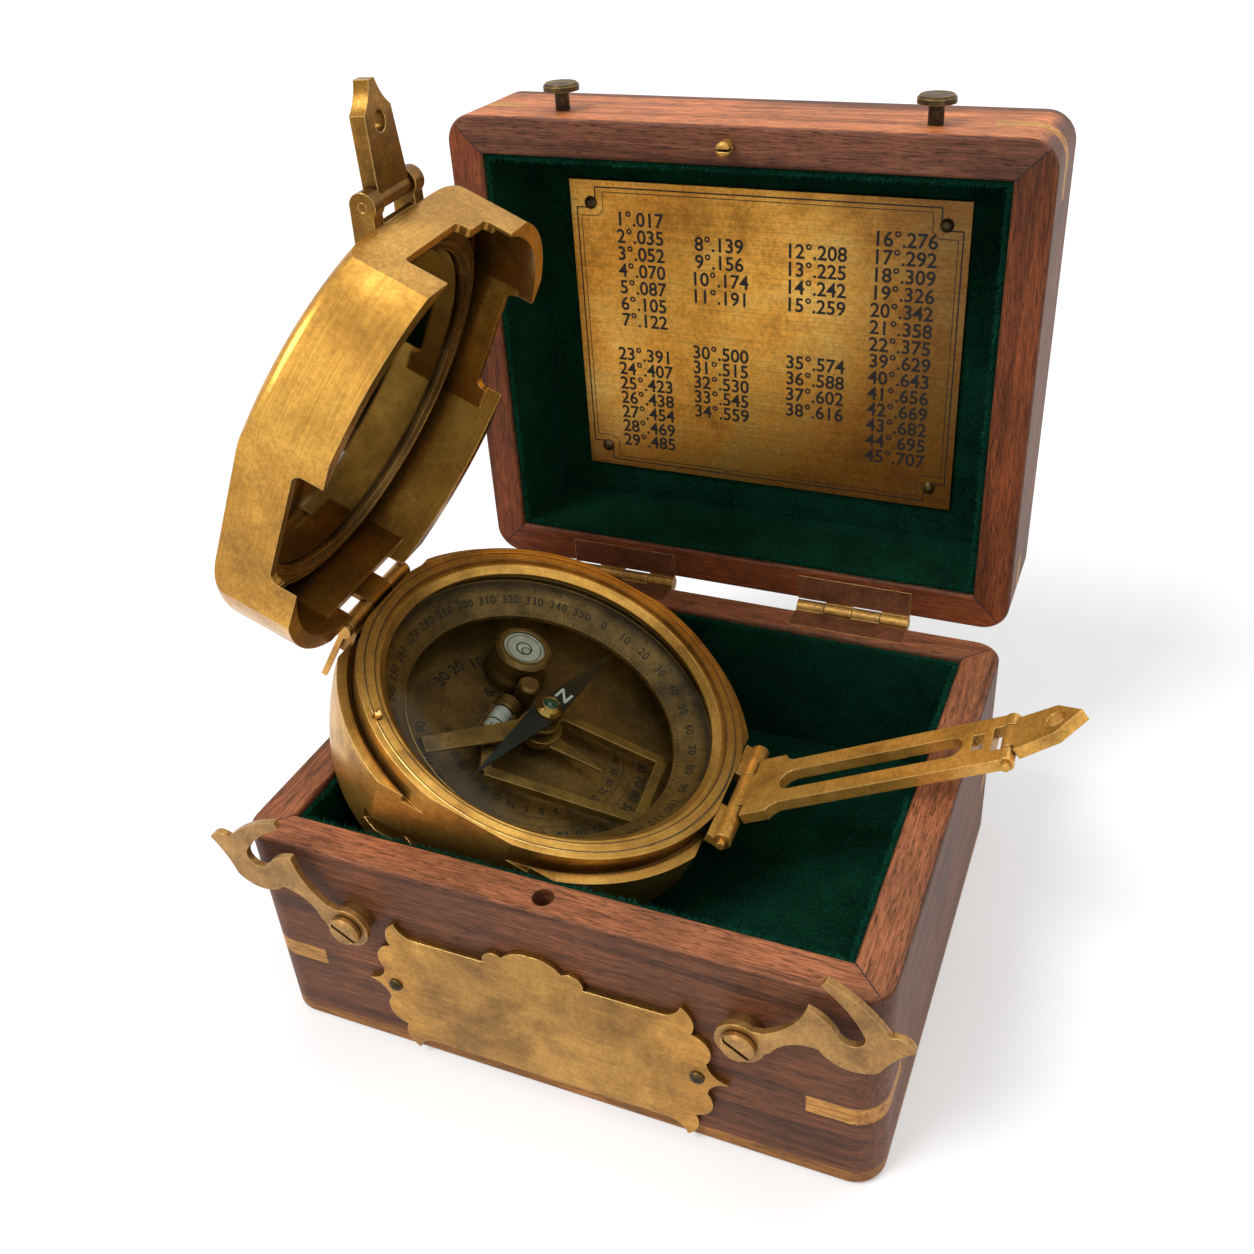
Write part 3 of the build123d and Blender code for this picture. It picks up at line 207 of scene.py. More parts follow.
def aged_brass(name, bright, mid, dark, roughness=0.34, patina_mm=9.0, brushed=None, turned=None,
               wear_and_glint=0.85, grime_and_shade=0.7, speckle=0.45, grime_and_shade_mm=3.0, shade=None, metallic=0.72):
    """Brass, cast or cut from plate, then handled: cloudy patina, grime and painted shade in hollows,
    rubbed edges painted brighter as highlights.

    brushed gives the axis that the finishing strokes run along, turned the frame whose axis the turning
    marks go round. shade changes the tone away from a centre: it holds that place, the share of each axis
    that counts, the two distances in millimetres between which it changes, and the tint reached there.
    """
    material, tree, output = new_material(name)
    place = node(tree, "TexCoord").outputs["Object"]
    cloud = node(tree, "TexNoise", None, {
        "Vector": place, "Scale": 1 / (patina_mm * MM), "Detail": 8, "Roughness": 0.7, "Distortion": 0.3})
    patina_stops = [(0.3, colour(dark)), (0.48, colour(mid)), (0.66, colour(bright))]
    tone = node(tree, "ValToRGB", {"stops": patina_stops}, {"Fac": cloud.outputs["Fac"]})
    # Small dark spots where the brass has tarnished
    speck_mm = 0.9
    speck = node(tree, "TexNoise", None, {
        "Vector": place, "Scale": 1 / (speck_mm * MM), "Detail": 5, "Roughness": 0.72})
    speck_stops = [(0.38, [0.5, 0.44, 0.36, 1]), (0.58, [1.08, 1.06, 1.0, 1])]
    speckled = node(tree, "ValToRGB", {"stops": speck_stops}, {"Fac": speck.outputs["Fac"]})
    spotted = node(tree, "Mix", {"data_type": "RGBA", "blend_type": "MULTIPLY"},
                   {"Factor": speckle, 6: tone.outputs["Color"], 7: speckled.outputs["Color"]})
    # Brown grime and painted shade that darken the hollows, from ambient occlusion
    deepest_hollow = 1 - grime_and_shade
    grime_and_shade_stops = [(0.35, [deepest_hollow, deepest_hollow * 0.86, deepest_hollow * 0.7, 1]), (0.88, grey(1))]
    hollow = node(tree, "AmbientOcclusion", {"samples": 6}, {"Distance": grime_and_shade_mm * MM})
    grime_and_shade_tint = node(tree, "ValToRGB", {"stops": grime_and_shade_stops}, {"Fac": hollow.outputs["AO"]})
    aged_and_shaded = node(tree, "Mix", {"data_type": "RGBA", "blend_type": "MULTIPLY"},
                {"Factor": 1.0, 6: spotted.outputs[2], 7: grime_and_shade_tint.outputs["Color"]}).outputs[2]
    if shade:
        centre, counted, near, far, deepest = shade
        offset = node(tree, "VectorMath", {"operation": "SUBTRACT"}, {0: place, 1: centre})
        across = node(tree, "VectorMath", {"operation": "MULTIPLY"}, {0: offset.outputs[0], 1: counted})
        away = node(tree, "VectorMath", {"operation": "LENGTH"}, {0: across.outputs[0]})
        depth = node(tree, "MapRange", {"interpolation_type": "SMOOTHSTEP"}, {
            "Value": away.outputs["Value"], "From Min": near * MM, "From Max": far * MM})
        aged_and_shaded = node(tree, "Mix", {"data_type": "RGBA", "blend_type": "MULTIPLY"},
                    {"Factor": depth.outputs[0], 6: aged_and_shaded, 7: deepest}).outputs[2]
    # Finishing marks: long thin noise, drawn coarser than real ones so that they show
    mark_mm, turn_mm = 0.35, 1.2
    if turned:
        local = node(tree, "Mapping", {"vector_type": "TEXTURE"}, {
            "Vector": place, "Location": turned.to_translation(), "Rotation": turned.to_euler()})
        split = node(tree, "SeparateXYZ", None, {0: local.outputs[0]})
        flat = node(tree, "VectorMath", {"operation": "MULTIPLY"}, {0: local.outputs[0], 1: (1, 1, 0)})
        radius = node(tree, "VectorMath", {"operation": "LENGTH"}, {0: flat.outputs[0]})
        angle = node(tree, "Math", {"operation": "ARCTAN2"},
                     {0: split.outputs["Y"], 1: split.outputs["X"]})
        slow = node(tree, "Math", {"operation": "MULTIPLY"}, {0: angle.outputs[0], 1: turn_mm * MM})
        along = node(tree, "CombineXYZ", None, {
            "X": radius.outputs["Value"], "Y": split.outputs["Z"], "Z": slow.outputs[0]}).outputs[0]
    else:
        stretch = {"X": (0.02, 1, 1), "Y": (1, 0.02, 1), "Z": (1, 1, 0.02), None: (1, 0.2, 0.6)}[brushed]
        tilt = (0.3, 0.2, 0.5) if brushed is None else (0, 0, 0)
        along = node(tree, "Mapping", None, {
            "Vector": place, "Scale": stretch, "Rotation": tilt}).outputs["Vector"]
    scratch = node(tree, "TexNoise", None, {
        "Vector": along, "Scale": 1 / (mark_mm * MM), "Detail": 5, "Roughness": 0.6})
    lined = node(tree, "ValToRGB", {"stops": [(0.35, grey(0.8)), (0.65, grey(1.15))]},
                 {"Fac": scratch.outputs["Fac"]})
    stroked = node(tree, "Mix", {"data_type": "RGBA", "blend_type": "MULTIPLY"},
                   {"Factor": 0.85, 6: aged_and_shaded, 7: lined.outputs["Color"]})
    both = node(tree, "Math", {"operation": "MULTIPLY_ADD"}, {
        0: speck.outputs["Fac"], 1: 0.7 * speckle, 2: scratch.outputs["Fac"]})
    mark_depth, edge_radius = 0.07 * MM, 0.3 * MM
    relief = node(tree, "Bump", None, {
        "Height": both.outputs[0], "Strength": 0.3, "Distance": mark_depth})
    soft_edge = node(tree, "Bevel", {"samples": 4}, {
        "Radius": edge_radius, "Normal": relief.outputs["Normal"]})
    # Edges are where the softened normal leaves the real one: they are rubbed bright, and painted brighter
    # as highlights
    surface = node(tree, "NewGeometry")
    turn = node(tree, "VectorMath", {"operation": "DOT_PRODUCT"},
                {0: soft_edge.outputs["Normal"], 1: surface.outputs["Normal"]})
    rubbed_and_glint_edges = node(tree, "ValToRGB", {"stops": [(0.8, grey(1)), (0.97, grey(0))]},
                  {"Fac": turn.outputs["Value"]})
    amount = node(tree, "Math", {"operation": "MULTIPLY"}, {0: rubbed_and_glint_edges.outputs["Color"], 1: wear_and_glint})
    full = node(tree, "Mix", {"data_type": "RGBA"},
                {"Factor": amount.outputs[0], 6: stroked.outputs[2], 7: colour(rubbed_and_glint_tone)})
    gloss = node(tree, "MapRange", None, {
        "Value": cloud.outputs["Fac"], "From Min": 0.3, "From Max": 0.7,
        "To Min": roughness + 0.14, "To Max": roughness - 0.04})
    shader = node(tree, "BsdfPrincipled", None, {
        "Base Color": full.outputs[2], "Metallic": metallic, "Roughness": gloss.outputs[0],
        "Normal": soft_edge.outputs["Normal"]})
    tree.links.new(shader.outputs[0], output.inputs["Surface"])
    return material


def cotton_velvet(name, deep, lit, sheen):
    """Short-pile cotton velvet: almost black along the view, paler where the pile is brushed over."""
    material, tree, output = new_material(name)
    place = node(tree, "TexCoord").outputs["Object"]
    # Strokes of the nap, and the pile's fibres drawn a few times as coarse as real
    nap_mm, pile_mm, pile_depth = 9, 0.5, 0.3 * MM
    nap = node(tree, "TexNoise", None, {
        "Vector": place, "Scale": 1 / (nap_mm * MM), "Detail": 3, "Distortion": 0.6})
    pile = node(tree, "TexNoise", None, {
        "Vector": place, "Scale": 1 / (pile_mm * MM), "Detail": 3, "Roughness": 0.7})
    quiet = node(tree, "Math", {"operation": "MULTIPLY"}, {0: nap.outputs["Fac"], 1: 0.35})
    both = node(tree, "Math", {"operation": "MULTIPLY_ADD"}, {
        0: pile.outputs["Fac"], 1: 0.8, 2: quiet.outputs[0]})
    tone = node(tree, "ValToRGB", {"stops": [(0.44, colour(deep)), (0.72, colour(lit))]},
                {"Fac": both.outputs[0]})
    relief = node(tree, "Bump", None, {
        "Height": pile.outputs["Fac"], "Strength": 0.7, "Distance": pile_depth})
    shader = node(tree, "BsdfPrincipled", None, {
        "Base Color": tone.outputs["Color"], "Roughness": 0.95, "Normal": relief.outputs["Normal"],
        "Sheen Weight": sheen, "Sheen Roughness": 0.4, "Sheen Tint": colour("#1d6b4e"),
        "Specular IOR Level": 0.05})
    tree.links.new(shader.outputs[0], output.inputs["Surface"])
    return material


def polished(name, tone, roughness, metallic=0.0, grain_mm=1.2, change=0.25):
    """Smooth finish with a slight change of tone and gloss over it, as polished by hand."""
    material, tree, output = new_material(name)
    place = node(tree, "TexCoord").outputs["Object"]
    cloud = node(tree, "TexNoise", None, {"Vector": place, "Scale": 1 / (grain_mm * MM), "Detail": 4})
    vary = node(tree, "ValToRGB", {"stops": [(0.3, grey(1 - change)), (0.7, grey(1))]},
                {"Fac": cloud.outputs["Fac"]})
    tint = node(tree, "Mix", {"data_type": "RGBA", "blend_type": "MULTIPLY"},
                {"Factor": 1.0, 6: colour(tone), 7: vary.outputs["Color"]})
    gloss = node(tree, "MapRange", None, {
        "Value": cloud.outputs["Fac"], "To Min": max(roughness - 0.05, 0.02), "To Max": roughness + 0.08})
    shader = node(tree, "BsdfPrincipled", None, {
        "Base Color": tint.outputs[2], "Roughness": gloss.outputs[0], "Metallic": metallic})
    tree.links.new(shader.outputs[0], output.inputs["Surface"])
    return material


def clear_glass(name, tone, least, most):
    """Polished plate glass: clear from in front, with a gloss that grows towards the edge of the view."""
    material, tree, output = new_material(name)
    place = node(tree, "TexCoord").outputs["Object"]
    smear_mm = 14
    smear = node(tree, "TexNoise", None, {"Vector": place, "Scale": 1 / (smear_mm * MM), "Detail": 5})
    gloss = node(tree, "MapRange", None, {
        "Value": smear.outputs["Fac"], "From Min": 0.45, "From Max": 0.75,
        "To Min": 0.02, "To Max": 0.12})
    through = node(tree, "BsdfTransparent", None, {"Color": colour(tone)})
    shine = node(tree, "BsdfGlossy", None, {"Color": colour("#ffffff"), "Roughness": gloss.outputs[0]})
    facing = node(tree, "LayerWeight", None, {"Blend": 0.5})
    steep = node(tree, "Math", {"operation": "POWER"}, {0: facing.outputs["Facing"], 1: 4.0})
    amount = node(tree, "MapRange", None, {"Value": steep.outputs[0], "To Min": least, "To Max": most})
    mixed = node(tree, "MixShader", None, {
        0: amount.outputs[0], 1: through.outputs[0], 2: shine.outputs[0]})
    tree.links.new(mixed.outputs[0], output.inputs["Surface"])
    return material


# Tones of oiled rosewood, red brown with open pores, and the factors of the painted light and shade on its
# rims
ROSE = {"dark": "#4a2c1c", "light": "#784a31", "pore": "#24150c"}
rim_up = (0, 0, 1)
rim_out = tuple(-lid_z)
base_rim_painted_light, lid_rim_painted_shade, lid_front_painted_light = [1.95, 1.98, 2.0, 1], [1.15, 0.85, 0.62, 1], [2.9, 2.6, 1.65, 1]
base_wood_x = oiled_wood("rosewood_base_across", along="X", rim=rim_up, painted_light_tint=base_rim_painted_light, **ROSE)
base_wood_y = oiled_wood("rosewood_base_deep", along="Y", rim=rim_up, painted_light_tint=base_rim_painted_light, **ROSE)
lid_wood_x = oiled_wood("rosewood_lid_across", along="X", rim=rim_out, painted_light_tint=lid_rim_painted_shade, **ROSE)
# The lid's front wall has its outer face, which looks up, painted pale: painted light where the light falls
# on it
lid_wood_front = oiled_wood("rosewood_lid_front_painted_light", "#4b2c1d", "#845440", "#24150d", "X",
                            rim=rim_up, painted_light_tint=lid_front_painted_light)
lid_wood_z = oiled_wood("rosewood_lid_upright", along="Z", rim=rim_out, painted_light_tint=lid_rim_painted_shade, **ROSE)
# Bottom board of a plain yellow wood, oiled: golden brown, with narrow bands at its edge
wood_foot = oiled_wood("bottom_board_oiled", "#6b4320", "#a06d35", "#3a2310", "X", band_mm=3.0)
# Keys of maple glued into the corners and planed flush: pale strips across the dark wood
wood_key = oiled_wood("corner_key_maple", "#a0692f", "#cf9850", "#855226", "X", band_mm=2.0, pore_mm=0.25)
# Lacquer worn off cast and turned brass: warm brown over gold, with turning marks round the side, and
# painted shade under its ledges
case_brass = aged_brass("compass_brass_turned", "#eab85c", "#cc9a47", "#8f642b", roughness=0.28,
                        patina_mm=14, turned=dial, speckle=0.25, grime_and_shade_mm=6.0, metallic=0.8)
# The mirror lid's inside is painted darker as shade, through the occlusion's wide reach
lid_brass = aged_brass("mirror_lid_brass_handled", "#ecb453", "#c08c3b", "#8a642c", roughness=0.24,
                       patina_mm=24, turned=mirror_frame, speckle=0.35, grime_and_shade=0.86, grime_and_shade_mm=16.0,
                       metallic=0.85)
# The mirror's ring is turned, and painted darker than the lid round it: painted shade inside the lid
mirror_ring_brass = aged_brass("mirror_ring_brass_painted_shade", "#a98549", "#856535", "#513c1c", roughness=0.24,
                               patina_mm=12, turned=mirror_frame, speckle=0.3, grime_and_shade_mm=4.0,
                               metallic=0.8)
# Brass under the glass, dull brown and bright only on its edges
inner_brass = aged_brass("dial_brass_dull", "#93713c", "#73562b", "#493418", roughness=0.38,
                         turned=dial, wear_and_glint=1.0, metallic=0.5)
scale_brass = aged_brass("scale_plate_brass_tarnished", "#8c6832", "#6e5026", "#432d13", roughness=0.42,
                         patina_mm=10, speckle=0.5, metallic=0.5)
frame_brass = aged_brass("clinometer_brass_dull", "#9c7839", "#80602b", "#574019", patina_mm=7,
                         wear_and_glint=1.0, metallic=0.5)
# Filed and handled sights: the small leaf is painted darker than the long arm, as shade on its side away
# from the light
sight_brass = aged_brass("sight_brass_filed", "#f2ba62", "#d9a24a", "#9d722f", roughness=0.28,
                         patina_mm=12, speckle=0.3, metallic=0.6)
leaf_brass_painted_shade = aged_brass("sight_leaf_brass_painted_shade", "#a2772f", "#80591f", "#543913", roughness=0.28,
                        patina_mm=12, speckle=0.4, wear_and_glint=0.9, metallic=0.8)
# Hinges: away from the hinge's axis the brass turns darker, so the barrels stay bright and the leaves are
# dark
hinge_line = (hinge, (0, 1, 1), 1.7, 2.3, [0.42, 0.3, 0.75, 1])
hinge_brass = aged_brass("hinge_brass_sunk_leaves", "#d9a650", "#b98a3d", "#835d28", patina_mm=6,
                         shade=hinge_line, metallic=0.4)
# Hooks cut from sheet and dulled by the fingers; studs and nails black with age
hook_brass = aged_brass("hook_brass_dark", "#c49453", "#a37a44", "#735430", speckle=0.25, wear_and_glint=0.6)
stud_brass = aged_brass("stud_brass_black", "#6e5830", "#45361d", "#271e11", roughness=0.4, patina_mm=3)
# The nameplate is painted brighter towards its ends: painted highlights
nameplate_centre = Vector((nameplate_x, -outer_half_y, nameplate_z)) * MM
plate_brass = aged_brass("nameplate_brass_painted_highlight", "#c9984a", "#a57a38", "#745325", roughness=0.24,
                         patina_mm=15, brushed="X", speckle=0.35, metallic=0.8,
                         shade=(nameplate_centre, (1, 0, 0), 14, 36, [1.32, 1.24, 1.05, 1]))
# The needle's cap keeps its polish under the glass; the same bright brass paints highlights on the turned
# edges
polished_and_highlight_brass = aged_brass("brass_polished_and_painted_highlight", "#ffd88a", "#f0c068", "#c89a48", roughness=0.14,
                          patina_mm=6, speckle=0.1, metallic=0.92)
# The number plate is painted dark brown away from a bright patch at its upper left: a painted pool of
# light, with painted shade from the lid's walls
table_lit_centre = lid @ (Vector((-20, -15, table_face)) * MM)
table_brass = aged_brass("number_plate_brass_painted_light", "#ffcf6a", "#ffba4c", "#bd8026", roughness=0.3,
                         patina_mm=17, brushed="X", speckle=0.5, metallic=0.6,
                         shade=(table_lit_centre, (1, 1, 1), 20, 62, [0.24, 0.2, 0.16, 1]))
# Lining and its standing pile: the pile's ends catch more light than its ground
velvet = cotton_velvet("cotton_velvet_green", "#04190f", "#0b3a28", 0.18)
velvet_pile = cotton_velvet("cotton_velvet_pile_ends", "#0a3024", "#1c6a50", 0.4)
# Steel polished and then blued: almost black, with a dull gloss
needle_steel = polished("needle_blued_steel", "#0d1413", 0.4, metallic=0.3)
# Green glass ground to a dome: dark, with one sharp highlight
jewel_green = polished("cap_jewel_green_glass", "#07513c", 0.08)
# Silvered glass, greyed by age: a sharp reflection, darker than what it shows
mirror_silver = polished("mirror_silvered_glass", "#5d5f55", 0.03, metallic=1.0, grain_mm=20,
                         change=0.15)
# Plate glass over the dial: clear, with smears that show only in its gloss
window_glass = clear_glass("window_plate_glass", "#f6f9f5", 0.004, 0.1)
# White enamel under the levels' liquid, and the dark rims that a bubble shows
level_white = polished("level_white_enamel", "#e6e8e3", 0.25, grain_mm=2)
bubble_dark = polished("level_bubble_rim", "#3d423f", 0.2, grain_mm=0.6)
# Black wax rubbed into engraved lines: matt and even; the same black paints shade in the turned grooves
engraving_and_groove_shade = polished("engraved_black_wax_and_groove_shade", "#0f0a05", 0.6, grain_mm=0.6)
# White paint laid on by brush, and hide glue that has gone dark in the mitres
white_paint = polished("needle_letter_white_paint", "#e9ece6", 0.5, grain_mm=0.6, change=0.1)
glue_line = polished("mitre_glue_line", "#1b0f0a", 0.7, grain_mm=1.0)

finishes = {
    "base_front_wall": base_wood_x, "base_back_wall": base_wood_x, "base_left_wall": base_wood_y,
    "base_right_wall": base_wood_y, "lid_front_wall": lid_wood_front, "lid_back_wall": lid_wood_x,
    "lid_left_wall": lid_wood_z, "lid_right_wall": lid_wood_z, "bottom_board": wood_foot,
    "top_board": lid_wood_x, "base_corner_keys": wood_key, "lid_corner_keys": wood_key,
    "nameplate": plate_brass, "number_plate": table_brass, "nameplate_pins": stud_brass,
    "hook_screws": hook_brass, "hook_washers": hook_brass, "left_hook": hook_brass,
    "right_hook": hook_brass, "base_hinge_leaves": hinge_brass, "lid_hinge_leaves": hinge_brass,
    "hinge_pins": hinge_brass, "plate_nails": stud_brass, "hook_studs": stud_brass,
    "locating_pin": sight_brass, "compass_case": case_brass, "glass_ring": case_brass,
    "glass": window_glass, "dial_ring": inner_brass, "scale_plate": scale_brass,
    "bulls_eye_housing": inner_brass, "bulls_eye_glass": level_white, "level_boss": inner_brass,
    "pivot_post": inner_brass, "case_hinge_leaves": sight_brass, "case_hinge_pins": sight_brass,
    "lid_stop_strip": sight_brass, "needle": needle_steel, "needle_cap": polished_and_highlight_brass,
    "cap_jewel": jewel_green, "needle_lifter": frame_brass, "lift_pin": polished_and_highlight_brass,
    "clinometer_frame": frame_brass, "vial_holder": inner_brass, "tube_vial": level_white,
    "mirror_lid_shell": lid_brass, "mirror": mirror_silver, "mirror_ring": mirror_ring_brass,
    "sight_bracket": leaf_brass_painted_shade, "sight_pin_rod": leaf_brass_painted_shade, "small_sight_leaf": leaf_brass_painted_shade,
    "long_sight_arm": sight_brass, "tip_pin": sight_brass, "peep_tip": sight_brass,
}
for name, material in finishes.items():
    part = frame["nodes"][name]
    part.data.materials.clear()
    part.data.materials.append(material)


def mesh_piece(name, body, material, points, faces):
    """A mesh piece in metres that rides on a body."""
    mesh = bpy.data.meshes.new(name)
    mesh.from_pydata([tuple(p) for p in points], [], faces)
    mesh.materials.append(material)
    mesh.validate()
    piece = bpy.data.objects.new(name, mesh)
    bpy.context.scene.collection.objects.link(piece)
    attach(piece, body)
    return piece


class Marks:
    """Collects the flat marks of many letters and lines for one piece."""

    def __init__(self):
        self.points, self.faces = [], []

    def quad(self, corners):
        first = len(self.points)
        self.points += corners
        self.faces.append(tuple(range(first, first + len(corners))))

    def line(self, at, start, end, width, height=0.0):
        """Flat line between two points of a frame, in millimetres."""
        a, b = Vector((*start, 0)), Vector((*end, 0))
        side = Vector((-(b - a).y, (b - a).x, 0)).normalized() * width / 2
        corners = [a - side, b - side, b + side, a + side]
        self.quad([at @ (Vector((c.x, c.y, height)) * MM) for c in corners])

    def path(self, at, places, width):
        """Lines through a row of points."""
        for start, end in zip(places, places[1:]):
            self.line(at, start, end, width)

    def text(self, words, size, at):
        """Letters of a size in millimetres, centred at a matrix in metres."""
        letter_offset = 0.018
        curve = bpy.data.curves.new("letters", "FONT")
        curve.body, curve.size = words, size * MM
        curve.align_x, curve.align_y = "CENTER", "CENTER"
        curve.resolution_u, curve.offset = 3, letter_offset * size * MM
        carrier = bpy.data.objects.new("letters", curve)
        bpy.context.scene.collection.objects.link(carrier)
        shape = bpy.data.meshes.new_from_object(carrier)
        first = len(self.points)
        self.points += [at @ v.co for v in shape.vertices]
        self.faces += [tuple(first + i for i in f.vertices) for f in shape.polygons]
        bpy.data.objects.remove(carrier)
        bpy.data.meshes.remove(shape)
        bpy.data.curves.remove(curve)

    def piece(self, name, body, material, slot):
        return mesh_piece(name, body, material, self.points, self.faces)


def shifted(x, y, z):
    """Matrix of a move in millimetres."""
    return Matrix.Translation(Vector((x, y, z)) * MM)


# Engraved table of sines on the lid's plate, each number filled with black wax
wax_rise, table_letter = 0.02, 4.4
table = lid_mouth @ shifted(0, 0, wax_rise - table_face)
table_marks = Marks()
# Centre, height of the first line, line spacing and degrees of each block
blocks = [(-28.2, 26.4, 3.9, range(1, 8)), (-9.6, 22.0, 3.95, range(8, 12)),
          (12.4, 22.0, 3.95, range(12, 16)), (31.4, 26.0, 3.85, range(16, 23)),
          (-28.6, -5.4, 3.7, range(23, 30)), (-9.8, -3.2, 3.65, range(30, 35)),
          (12.6, -3.2, 3.85, range(35, 39)), (31.6, -0.9, 3.8, range(39, 46))]
for x, top, pitch, angles in blocks:
    for row, degrees in enumerate(angles):
        sine = round(math.sin(math.radians(degrees)) * 1000)
        table_marks.text(f"{degrees}°.{sine:03d}", table_letter, table @ shifted(x, top - row * pitch, 0))
# Double border, stepped in round the nails: distance from the edge, size of the step, width of the line
corner_cut = 1.4
for inset, step, width in ((1.5, 4.6, 0.3), (2.5, 5.4, 0.16)):
    ex, ey = table_half_x - inset, table_half_y - inset
    quarter = [(ex - step, ey), (ex - step, ey - step + corner_cut),
               (ex - step + corner_cut, ey - step), (ex, ey - step)]
    for sx in (-1, 1):
        for sy in (-1, 1):
            table_marks.path(table, [(sx * x, sy * y) for x, y in quarter], width)
    for s in (-1, 1):
        table_marks.line(table, (step - ex, s * ey), (ex - step, s * ey), width)
        table_marks.line(table, (s * ex, step - ey), (s * ex, ey - step), width)
table_marks.piece("table_engraving", "box_lid", engraving_and_groove_shade, "engraved_brass")

# Dial graduations on the sloping ring; a share says how far up the slope they stand
mark_rise = 0.03
outer_share, number_share, inner_share = 0.95, 0.45, 0.14
long_tick, middle_tick, short_tick, inner_tick = 1.9, 1.4, 0.9, 0.8
tick_width, fine_width = 0.15, 0.12
dial_marks = Marks()
ring_low, ring_high = Vector((dial_inner, 0, -dial_inner_drop)), Vector((dial_outer, 0, -dial_outer_drop))


def on_ring(angle, share):
    """Frame on the sloping ring: x along the ring, y outwards up the slope."""
    slope = (ring_high - ring_low).normalized()
    normal = Vector((-slope.z, 0, slope.x))
    at = ring_low.lerp(ring_high, share) + mark_rise * normal
    return dial @ Matrix.Rotation(angle, 4, "Z") @ placed(at * MM, Vector((0, -1, 0)), slope, normal)


def tick(degree):
    """Length of a graduation: long every ten degrees, middling every five."""
    if degree % 10 == 0:
        return long_tick
    return middle_tick if degree % 5 == 0 else short_tick


for degree in range(360):
    dial_marks.line(on_ring(math.radians(degree), outer_share), (0, -tick(degree)), (0, 0), tick_width)
# Each digit is set by itself, since the ring is hollow and a whole number would sink into it at its ends
digit_size, digit_turn = 2.6, 0.045
for mark in range(36):
    number = str(mark * 10)
    for spot, digit in enumerate(number):
        turn = math.radians(90 - mark * 10) - (spot - (len(number) - 1) / 2) * digit_turn
        dial_marks.text(digit, digit_size, on_ring(turn, number_share))
for degree in range(0, 360, 2):
    dial_marks.line(on_ring(math.radians(degree), inner_share), (0, -inner_tick), (0, 0), fine_width)
dial_marks.piece("dial_engraving", "compass", engraving_and_groove_shade, "engraved_brass")

# Clinometer scale on the plate under the needle: its middle in degrees, then radii and sizes of its rows
scale_middle, scale_tick_width = -60, 0.14
tick_radius, upper_radius, lower_radius = 28.4, 24.4, 18.4
upper_size, lower_size, side_size = 3.1, 2.2, 3.8
scale_marks = Marks()
scale = dial @ shifted(0, 0, mark_rise - scale_drop)


def on_scale(angle, radius):
    """Frame on the plate at an angle and radius, with y pointing outwards."""
    return scale @ Matrix.Rotation(angle - math.pi / 2, 4, "Z") @ shifted(0, radius, 0)


for degree in range(-90, 91):
    angle = math.radians(degree + scale_middle)
    scale_marks.line(on_scale(angle, tick_radius), (0, -tick(degree)), (0, 0), scale_tick_width)
    if degree % 10 == 0:
        scale_marks.text(str(abs(degree)), upper_size, on_scale(angle, upper_radius))
        scale_marks.text(str(abs(degree) // 2), lower_size, on_scale(angle, lower_radius))
arc = [math.radians(degree + scale_middle) for degree in range(-90, 91, 3)]
for radius in (20.3, 22.3):
    scale_marks.path(scale, [(radius * math.cos(a), radius * math.sin(a)) for a in arc], fine_width)
# Numbers on the other side of the plate, each with its angle and radius
side_numbers = [("10", 150, 23), ("20", 162, 24), ("30", 174, 24), ("5", 140, 16), ("6", 158, 15)]
for number, angle, radius in side_numbers:
    scale_marks.text(number, side_size, on_scale(math.radians(angle), radius))
scale_marks.piece("clinometer_scale", "compass", engraving_and_groove_shade, "engraved_brass")

# White letter on the needle's north half
letter_size, letter_radius, paint_rise = 4.4, 5.6, 0.04
letter = Marks()
letter.text("N", letter_size, dial @ Matrix.Rotation(math.radians(needle_turn - 90), 4, "Z")
            @ shifted(0, letter_radius, paint_rise + needle_thickness - needle_drop))
letter.piece("needle_letter", "needle", white_paint, "blued_steel")


def ring_mark(name, body, at, inner, outer, material=bubble_dark, sides=40):
    """Thin flat ring lying in a frame, in millimetres."""
    turns = [2 * math.pi * i / sides for i in range(sides)]
    points = [at @ (Vector((r * math.cos(a), r * math.sin(a), 0)) * MM)
              for a in turns for r in (inner, outer)]
    count = 2 * sides
    faces = [(i, i + 1, (i + 3) % count, (i + 2) % count) for i in range(0, count, 2)]
    return mesh_piece(name, body, material, points, faces)


# Marks and bubbles of the two levels: the level's frame, the place in it, inner and outer radius
eye = dial @ shifted(eye_u, eye_v, eye_glass_top)
vial_top = dial @ shifted(vial_u, vial_v, vial_centre + vial_radius)
level_rings = [("bulls_eye_mark", "compass", eye, (0, 0, 0.05), 1.5, 1.85),
               ("bulls_eye_edge", "compass", eye, (0, 0, 0.05), 3.7, 3.9),
               ("bulls_eye_bubble", "compass", eye, (0.7, -0.4, 0.08), 0.85, 1.1),
               ("tube_level_bubble", "clinometer", vial_top, (0.2, -1.9, -0.02), 0.6, 0.85)]
for name, body, at, place, inner, outer in level_rings:
    ring_mark(name, body, at @ shifted(*place), inner, outer)
# Line round the middle of the tube level, in short flat pieces
line_half, line_rise, piece_turn = 0.2, 0.04, 14
tube_line = Marks()
for step in range(-4, 4):
    a, b = math.radians(step * piece_turn), math.radians((step + 1) * piece_turn)
    reach = vial_radius + line_rise
    turns = ((a, -line_half), (b, -line_half), (b, line_half), (a, line_half))
    corners = [(reach * math.sin(t), v, reach * math.cos(t)) for t, v in turns]
    tube_line.quad([dial @ shifted(vial_u, vial_v, vial_centre) @ (Vector(c) * MM) for c in corners])
tube_line.piece("tube_level_line", "clinometer", engraving_and_groove_shade, "vial_glass")

